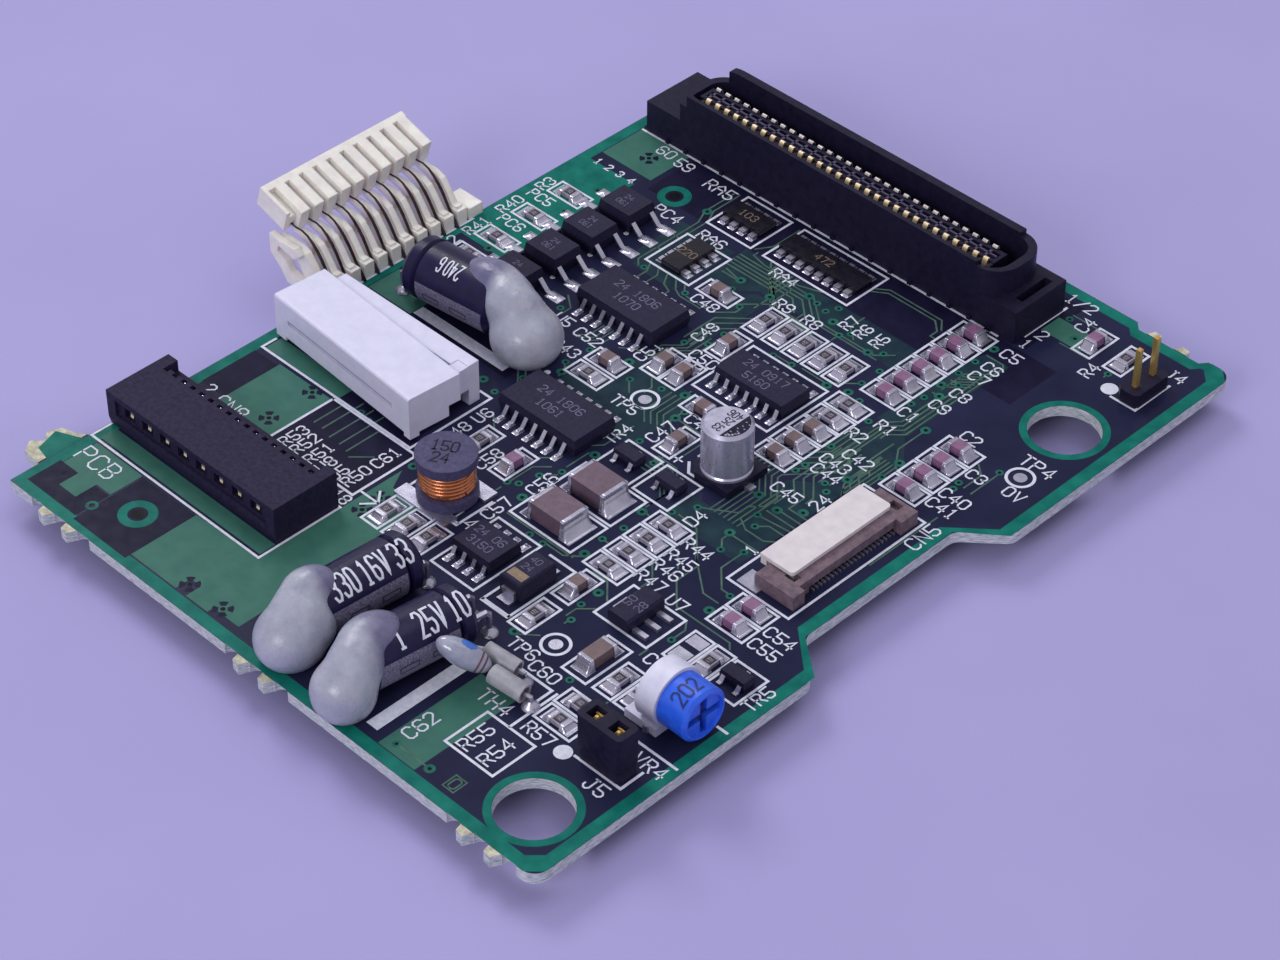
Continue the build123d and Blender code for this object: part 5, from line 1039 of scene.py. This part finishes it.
# ------------------------------------------------------------ hot-melt glue
def glue_drop(can, lumps):
    """Rounded lumps melted into one skin, flat on the board: place, three radii and turn of each."""
    name = can + "_glue_skin"
    bm = bmesh.new()
    for *spot, a, b, c, turn in lumps:
        place = Matrix.Translation(at(*spot)) @ Matrix.Rotation(math.radians(turn), 4, "Z")
        size = Matrix.Diagonal((a * MM, b * MM, c * MM, 1.0))
        bmesh.ops.create_icosphere(bm, subdivisions=4, radius=1.0, matrix=place @ size)
    rough = bpy.data.meshes.new(name + "_rough")
    bm.to_mesh(rough)
    bm.free()
    lump = bpy.data.objects.new(name + "_rough", rough)
    bpy.context.scene.collection.objects.link(lump)
    skin = lump.modifiers.new("skin", "REMESH")
    skin.mode = "VOXEL"
    skin.voxel_size = 0.00022
    melt = lump.modifiers.new("melt", "SMOOTH")
    melt.factor = 0.5
    melt.iterations = 60
    bpy.context.view_layer.update()
    mesh = bpy.data.meshes.new_from_object(lump.evaluated_get(bpy.context.evaluated_depsgraph_get()))
    bpy.data.objects.remove(lump)
    radius, length = CANS[can][2:4]
    crown, along = can_axis(CANS[can])[:2]
    # 1 where the glue is a film over the can, 0 where it is thick
    film = mesh.attributes.new("film", "FLOAT", "POINT")
    for vert in mesh.vertices:
        vert.co.z = max(vert.co.z, 0.03 * MM)
        gap = board_mm(vert.co) - crown
        run = gap.dot(along)
        away = (gap - along * run).length - radius
        inside = min(1.0, max(0.0, (length - 0.2 - run) / 1.4))
        film.data[vert.index].value = inside * min(1.0, max(0.0, 1.5 - away / 1.5))
    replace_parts(add_piece(name, mesh, "glue", "hot_glue", smooth=True), can + "_glue")


glue_drop("front", [
    (35.4, 3.2, 2.1, 3.3, 3.4, 3.1, 0), (35.0, 4.8, 3.6, 2.9, 2.6, 2.5, 0),
    (34.2, 6.6, 4.5, 2.4, 2.9, 2.2, -4), (35.4, 5.4, 2.8, 3.0, 1.9, 2.7, 0)])
glue_drop("middle", [
    (43.5, 2.1, 2.1, 3.0, 3.0, 3.1, 0), (43.0, 4.0, 3.8, 2.5, 2.6, 2.5, 0),
    (42.2, 6.4, 4.6, 2.3, 3.3, 2.1, -7), (42.9, 4.6, 3.6, 2.6, 2.1, 2.6, 0)])
glue_drop("rear", [
    (19.7, 46.0, 2.1, 3.7, 3.6, 3.2, 0), (18.3, 46.4, 3.9, 2.6, 2.6, 2.6, 0),
    (14.2, 47.2, 4.9, 3.9, 2.3, 2.1, 6), (16.6, 46.7, 4.2, 2.4, 2.8, 2.6, 0)])

# ------------------------------------------------------------ board connector
TONGUE_Y, TONGUE_TOP, FIRST_X, WAYS, PITCH = 83.375, 5.6, 8.4, 30, 1.27

stand_offs = Skin()
for k in range(18):
    x = 5.0 + 2.54 * k
    stand_offs.block(x - 0.22, x + 0.22, 79.66, 79.9, 0.03, 0.5)
stand_offs.build("connector_stand_offs", "black", "black_moulding")
cells = Skin()
comb = Skin()
cells.block(7.5, 45.6, TONGUE_Y - 0.11, TONGUE_Y + 0.11, 4.75, TONGUE_TOP - 0.01)
for k in range(WAYS + 1):
    x = FIRST_X + PITCH * (k - 0.5)
    cells.block(x - 0.14, x + 0.14, TONGUE_Y - 0.5, TONGUE_Y + 0.5, 4.75, TONGUE_TOP - 0.01)
    comb.block(x - 0.2, x + 0.2, TONGUE_Y - 1.75, TONGUE_Y - 1.0, 3.6, TONGUE_TOP - 0.1)
cells.build("connector_cells", "rib", "black_moulding")
comb.build("connector_comb", "bung", "black_moulding")


def sprung_tips(name, material, first, pitch, count, y, side, width, profile):
    """The sprung ends of a row of contacts: profile is how far out and how high, from the top down."""
    tips = Skin()
    for k in range(count):
        x = first + pitch * k
        tips.rows([[(x - side * width / 2, y + side * out, z), (x + side * width / 2, y + side * out, z)]
                   for out, z in points(profile)], closed=False)
    tips.build(name, material, "gold_contact", smooth=True)


# Both rows are coloured far lighter than their metal: painted highlights where the tips catch the light.
sprung_tips("front_contact_tips", "flash", FIRST_X, PITCH, WAYS, TONGUE_Y - 1.0, -1, 0.56,
            "-0.1,5.86 0.14,5.92 0.34,5.66 0.46,5.2 0.5,4.8 0.46,4.4 0.32,3.9")
sprung_tips("rear_contact_tips", "tip_pale_highlight", FIRST_X - 0.6, PITCH, WAYS, TONGUE_Y + 0.86, 1, 0.6,
            "-0.06,5.7 0.02,5.84 0.14,5.9 0.26,5.88 0.36,5.74 0.4,5.5")


# ------------------------------------------------------------ power connector slider: painted shade in its groove
def on_slider(u, v):
    """u runs along the slider's front face, v is the height; just inside the groove, where its shade is
    painted as a darker strip.
    """
    c, s = turning(-4.4)
    return at(0.95 + u * c - 0.34 * s, 30.95 + u * s + 0.34 * c, v)


# A darker strip on the groove's back wall: painted shade standing for the groove's shadow.
groove = Flat(0, on_slider)
groove.rect(2.05, 2.37, 18.05, 2.93)
groove.build("slider_groove_painted_shade", "shade", "white_moulding", body="slider")

# ------------------------------------------------------------ signal socket
# The socket's tips take the same light gold with its painted highlight.
sprung_tips("socket_contact_tips", "flash", 3.01, 2.54, 8, 12.3, -1, 0.42,
            "0,2.72 0.16,2.64 0.3,2.4 0.34,2.1")

# ------------------------------------------------------------ trimmer
DRUM_FACE, DRUM_Y, DRUM_Z, DRUM_R = 67.65, 20.9, 2.95, 2.6


def round_drum(u, v):
    """u goes over the crown of the drum towards +Y, v back from its face."""
    r = DRUM_R + 0.03
    return at(DRUM_FACE - 0.45 - v, DRUM_Y + r * math.sin(u / DRUM_R), DRUM_Z + r * math.cos(u / DRUM_R))


number = Flat(0, round_drum)
number.text("202", -2.1, 0.35, 1.5, 0, 0.2, 0.45, 1.2)
number.build("trimmer_number", "navy", "trimmer_blue", body="adjuster")
# Navy plates at the bottom of the cross slot: painted shade for the slot's dark recess.
slot_painted_shade = Flat(0, lambda u, v: at(DRUM_FACE - 0.78, DRUM_Y + u, DRUM_Z + v))
slot_painted_shade.rect(-1.95, -0.38, 1.95, 0.38)
slot_painted_shade.rect(-0.38, 0.38, 0.38, 1.95)
slot_painted_shade.rect(-0.38, -1.95, 0.38, -0.38)
slot_painted_shade.build("trimmer_slot_painted_shade", "navy", "trimmer_blue", body="adjuster")

# ------------------------------------------------------------ standing capacitor
TOP_X, TOP_Y = 45.1, 46.9
print_black = Flat(6.208)
arc = [turning(-68 + 136 * i / 16) for i in range(17)]
print_black.poly([(TOP_X + 2.12 * c, TOP_Y + 2.12 * s) for c, s in arc])
for words, dx, dy in (("33", 0.35, -0.75), ("25", 0.45, 0.45), ("406", 0.6, 1.55)):
    print_black.text(words, TOP_X + dx, TOP_Y + dy, 0.85, 180, 0.12, 0.42, 1.2)
print_black.build("capacitor_print", "black", "can_aluminium")
flecks = Flat(6.214)
for k in range(11):
    c, s = turning(-58 + 11 * k)
    r = 1.2 + 0.85 * ((k * 0.618) % 1.0)
    x, y = TOP_X + r * c, TOP_Y + r * s
    if x > TOP_X + 0.95:
        flecks.rect(x - 0.09, y - 0.05, x + 0.09, y + 0.05)
for k in range(5):
    c, s = turning(-52 + 9 * k)
    x, y = TOP_X + 1.9 * c, TOP_Y + 1.9 * s
    flecks.rect(x - 0.12, y - 0.1, x + 0.1, y + 0.1)
flecks.build("capacitor_flecks", "tin", "can_aluminium")

# ------------------------------------------------------------ inductor
COIL_X, COIL_Y, COIL_R, WIRE_R = 29.5, 26.8, 2.42, 0.24
stamped = Flat(5.206)
c, s = turning(32)
for words, along, up in (("150", -1.5, 0.15), ("24", -1.1, -1.5)):
    stamped.text(words, COIL_X + along * c - up * s, COIL_Y + along * s + up * c, 1.3, 32, 0.2, 0.5, 1.2)
stamped.build("inductor_number", "black", "ferrite")
coil = Skin()
section = [(COIL_R + WIRE_R * c, WIRE_R * s) for c, s in (turning(60 * j) for j in range(6))]
wound = []
for i in range(201):
    c, s = turning(9 * i)
    wound.append([(COIL_X + r * c, COIL_Y + r * s, 1.75 + 0.01 * i + z) for r, z in section])
coil.rows(wound, flip=True)
coil.build("inductor_coil", "copper", "enamelled_wire", smooth=True)

# ------------------------------------------------------------ thermistor
TIP, ROOT, BEAD_R = Vector((46.2, 10.3, 4.35)), Vector((50.1, 12.9, 1.9)), 1.2
BEAD_AXIS = (ROOT - TIP).normalized()
BEAD_UP = (Vector((0, 0, 1)) - BEAD_AXIS * BEAD_AXIS.z).normalized()
BEAD_SIDE = BEAD_AXIS.cross(BEAD_UP)


def on_bead(u, v):
    """u runs along the bead from -1 to 1, v is the angle round from its top."""
    girth = BEAD_R * math.sqrt(max(0.0, 1 - u * u)) + 0.012
    p = (TIP + ROOT) / 2 + BEAD_AXIS * u * (ROOT - TIP).length / 2
    return at(*(p + (BEAD_UP * math.cos(v) + BEAD_SIDE * math.sin(v)) * girth))


spot = Flat(0, on_bead)
spot.sheet(-0.35, -0.75, 0.3, 0.3, 14, 14,
           lambda u, v: ((u + 0.02) / 0.3) ** 2 + ((v + 0.2) / 0.42) ** 2 < 1)
spot.build("bead_spot", "blue", "bead_coating")
for k, u in enumerate((0.5, 0.68)):
    band = Flat(0, on_bead)
    band.sheet(u, -2.6, u + 0.07, 2.6, 1, 36)
    band.build("bead_band_%d" % k, "rust", "bead_coating")

# ------------------------------------------------------------ edge connector leads
# x, z, width and thickness from the block over to the posts and down beside them
LEAD_RUN = [
    (-6.2, 5.62, 0.14, 0.11), (-5.35, 5.36, 0.14, 0.11), (-4.9, 5.36, 0.14, 0.11), (-4.3, 5.42, 0.15, 0.11),
    (-3.5, 5.2, 0.18, 0.12), (-2.8, 4.72, 0.26, 0.12), (-2.1, 4.05, 0.3, 0.12), (-1.5, 3.25, 0.3, 0.12),
    (-1.0, 2.4, 0.28, 0.12), (-0.5, 1.5, 0.26, 0.12), (0.1, 0.7, 0.26, 0.18), (0.5, 0.1, 0.3, 0.28),
    (0.5, -3.35, 0.3, 0.28)]

strips = Skin()
for k in range(10):
    sway = 0.08 * math.sin(k * 2.1)
    sections = []
    for i, (x, z, width, thick) in enumerate(LEAD_RUN):
        ahead, back = LEAD_RUN[min(i + 1, len(LEAD_RUN) - 1)], LEAD_RUN[max(i - 1, 0)]
        d = Vector((ahead[0] - back[0], ahead[1] - back[1])).normalized() * thick / 2
        y = 39.0 + 1.75 * k + sway * math.sin(math.pi * min(1.0, i / 10))
        sections.append([(x - d.y * side, y + edge * width / 2, z + d.x * side)
                         for side, edge in ((1, -1), (1, 1), (-1, 1), (-1, -1))])
    strips.rows(sections, foot=True, head=True)
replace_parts(strips.build("edge_lead_strips", "aged", "aged_lead"), "edge_connector_leads")


# ------------------------------------------------------------ camera, floor and lights
def soft_box(name, place, size, energy):
    data = bpy.data.lights.new(name, "AREA")
    data.shape = "RECTANGLE"
    data.size, data.size_y = size
    data.energy = energy
    lamp = bpy.data.objects.new(name, data)
    bpy.context.scene.collection.objects.link(lamp)
    lamp.location = place
    aim = Vector((-0.02, 0.04, 0)) - Vector(place)
    lamp.rotation_euler = aim.to_track_quat("-Z", "Y").to_euler()


def stage_set():
    scene = bpy.context.scene
    mesh = bpy.data.meshes.new("floor")
    z = cad_bounds[0][2] - 0.2 * MM
    half = 1.5
    corners = [(-half, -half, z), (half, -half, z), (half, half, z), (-half, half, z)]
    mesh.from_pydata(corners, [], [(0, 1, 2, 3)])
    floor = bpy.data.objects.new("floor", mesh)
    scene.collection.objects.link(floor)
    f = Finish("floor")
    f.set(Base_Color=f.tones(f.noise(30, 3), (163, 156, 210), (168, 161, 215)), Roughness=0.8)
    mesh.materials.append(f.material)

    world = bpy.data.worlds.new("studio")
    scene.world = world
    world.use_nodes = True
    background = world.node_tree.nodes["Background"]
    background.inputs["Color"].default_value = (0.94, 0.95, 1.0, 1.0)
    background.inputs["Strength"].default_value = 0.55
    soft_box("key", (-0.62, 0.22, 0.62), (0.32, 0.32), 2.4)
    soft_box("top", (0.05, 0.35, 0.8), (0.6, 0.4), 0.8)
    soft_box("fill", (0.12, -0.75, 0.5), (0.4, 0.3), 2.6)

    data = bpy.data.cameras.new("camera")
    data.lens = 98.56
    data.sensor_width = 36.0
    data.clip_start = 0.01
    camera = bpy.data.objects.new("camera", data)
    scene.collection.objects.link(camera)
    camera.location = (0.146517, -0.135536, 0.208528)
    camera.rotation_euler = (0.856808, -0.004871, 0.785892)
    scene.camera = camera
    scene.view_settings.view_transform = "Standard"


stage_set()
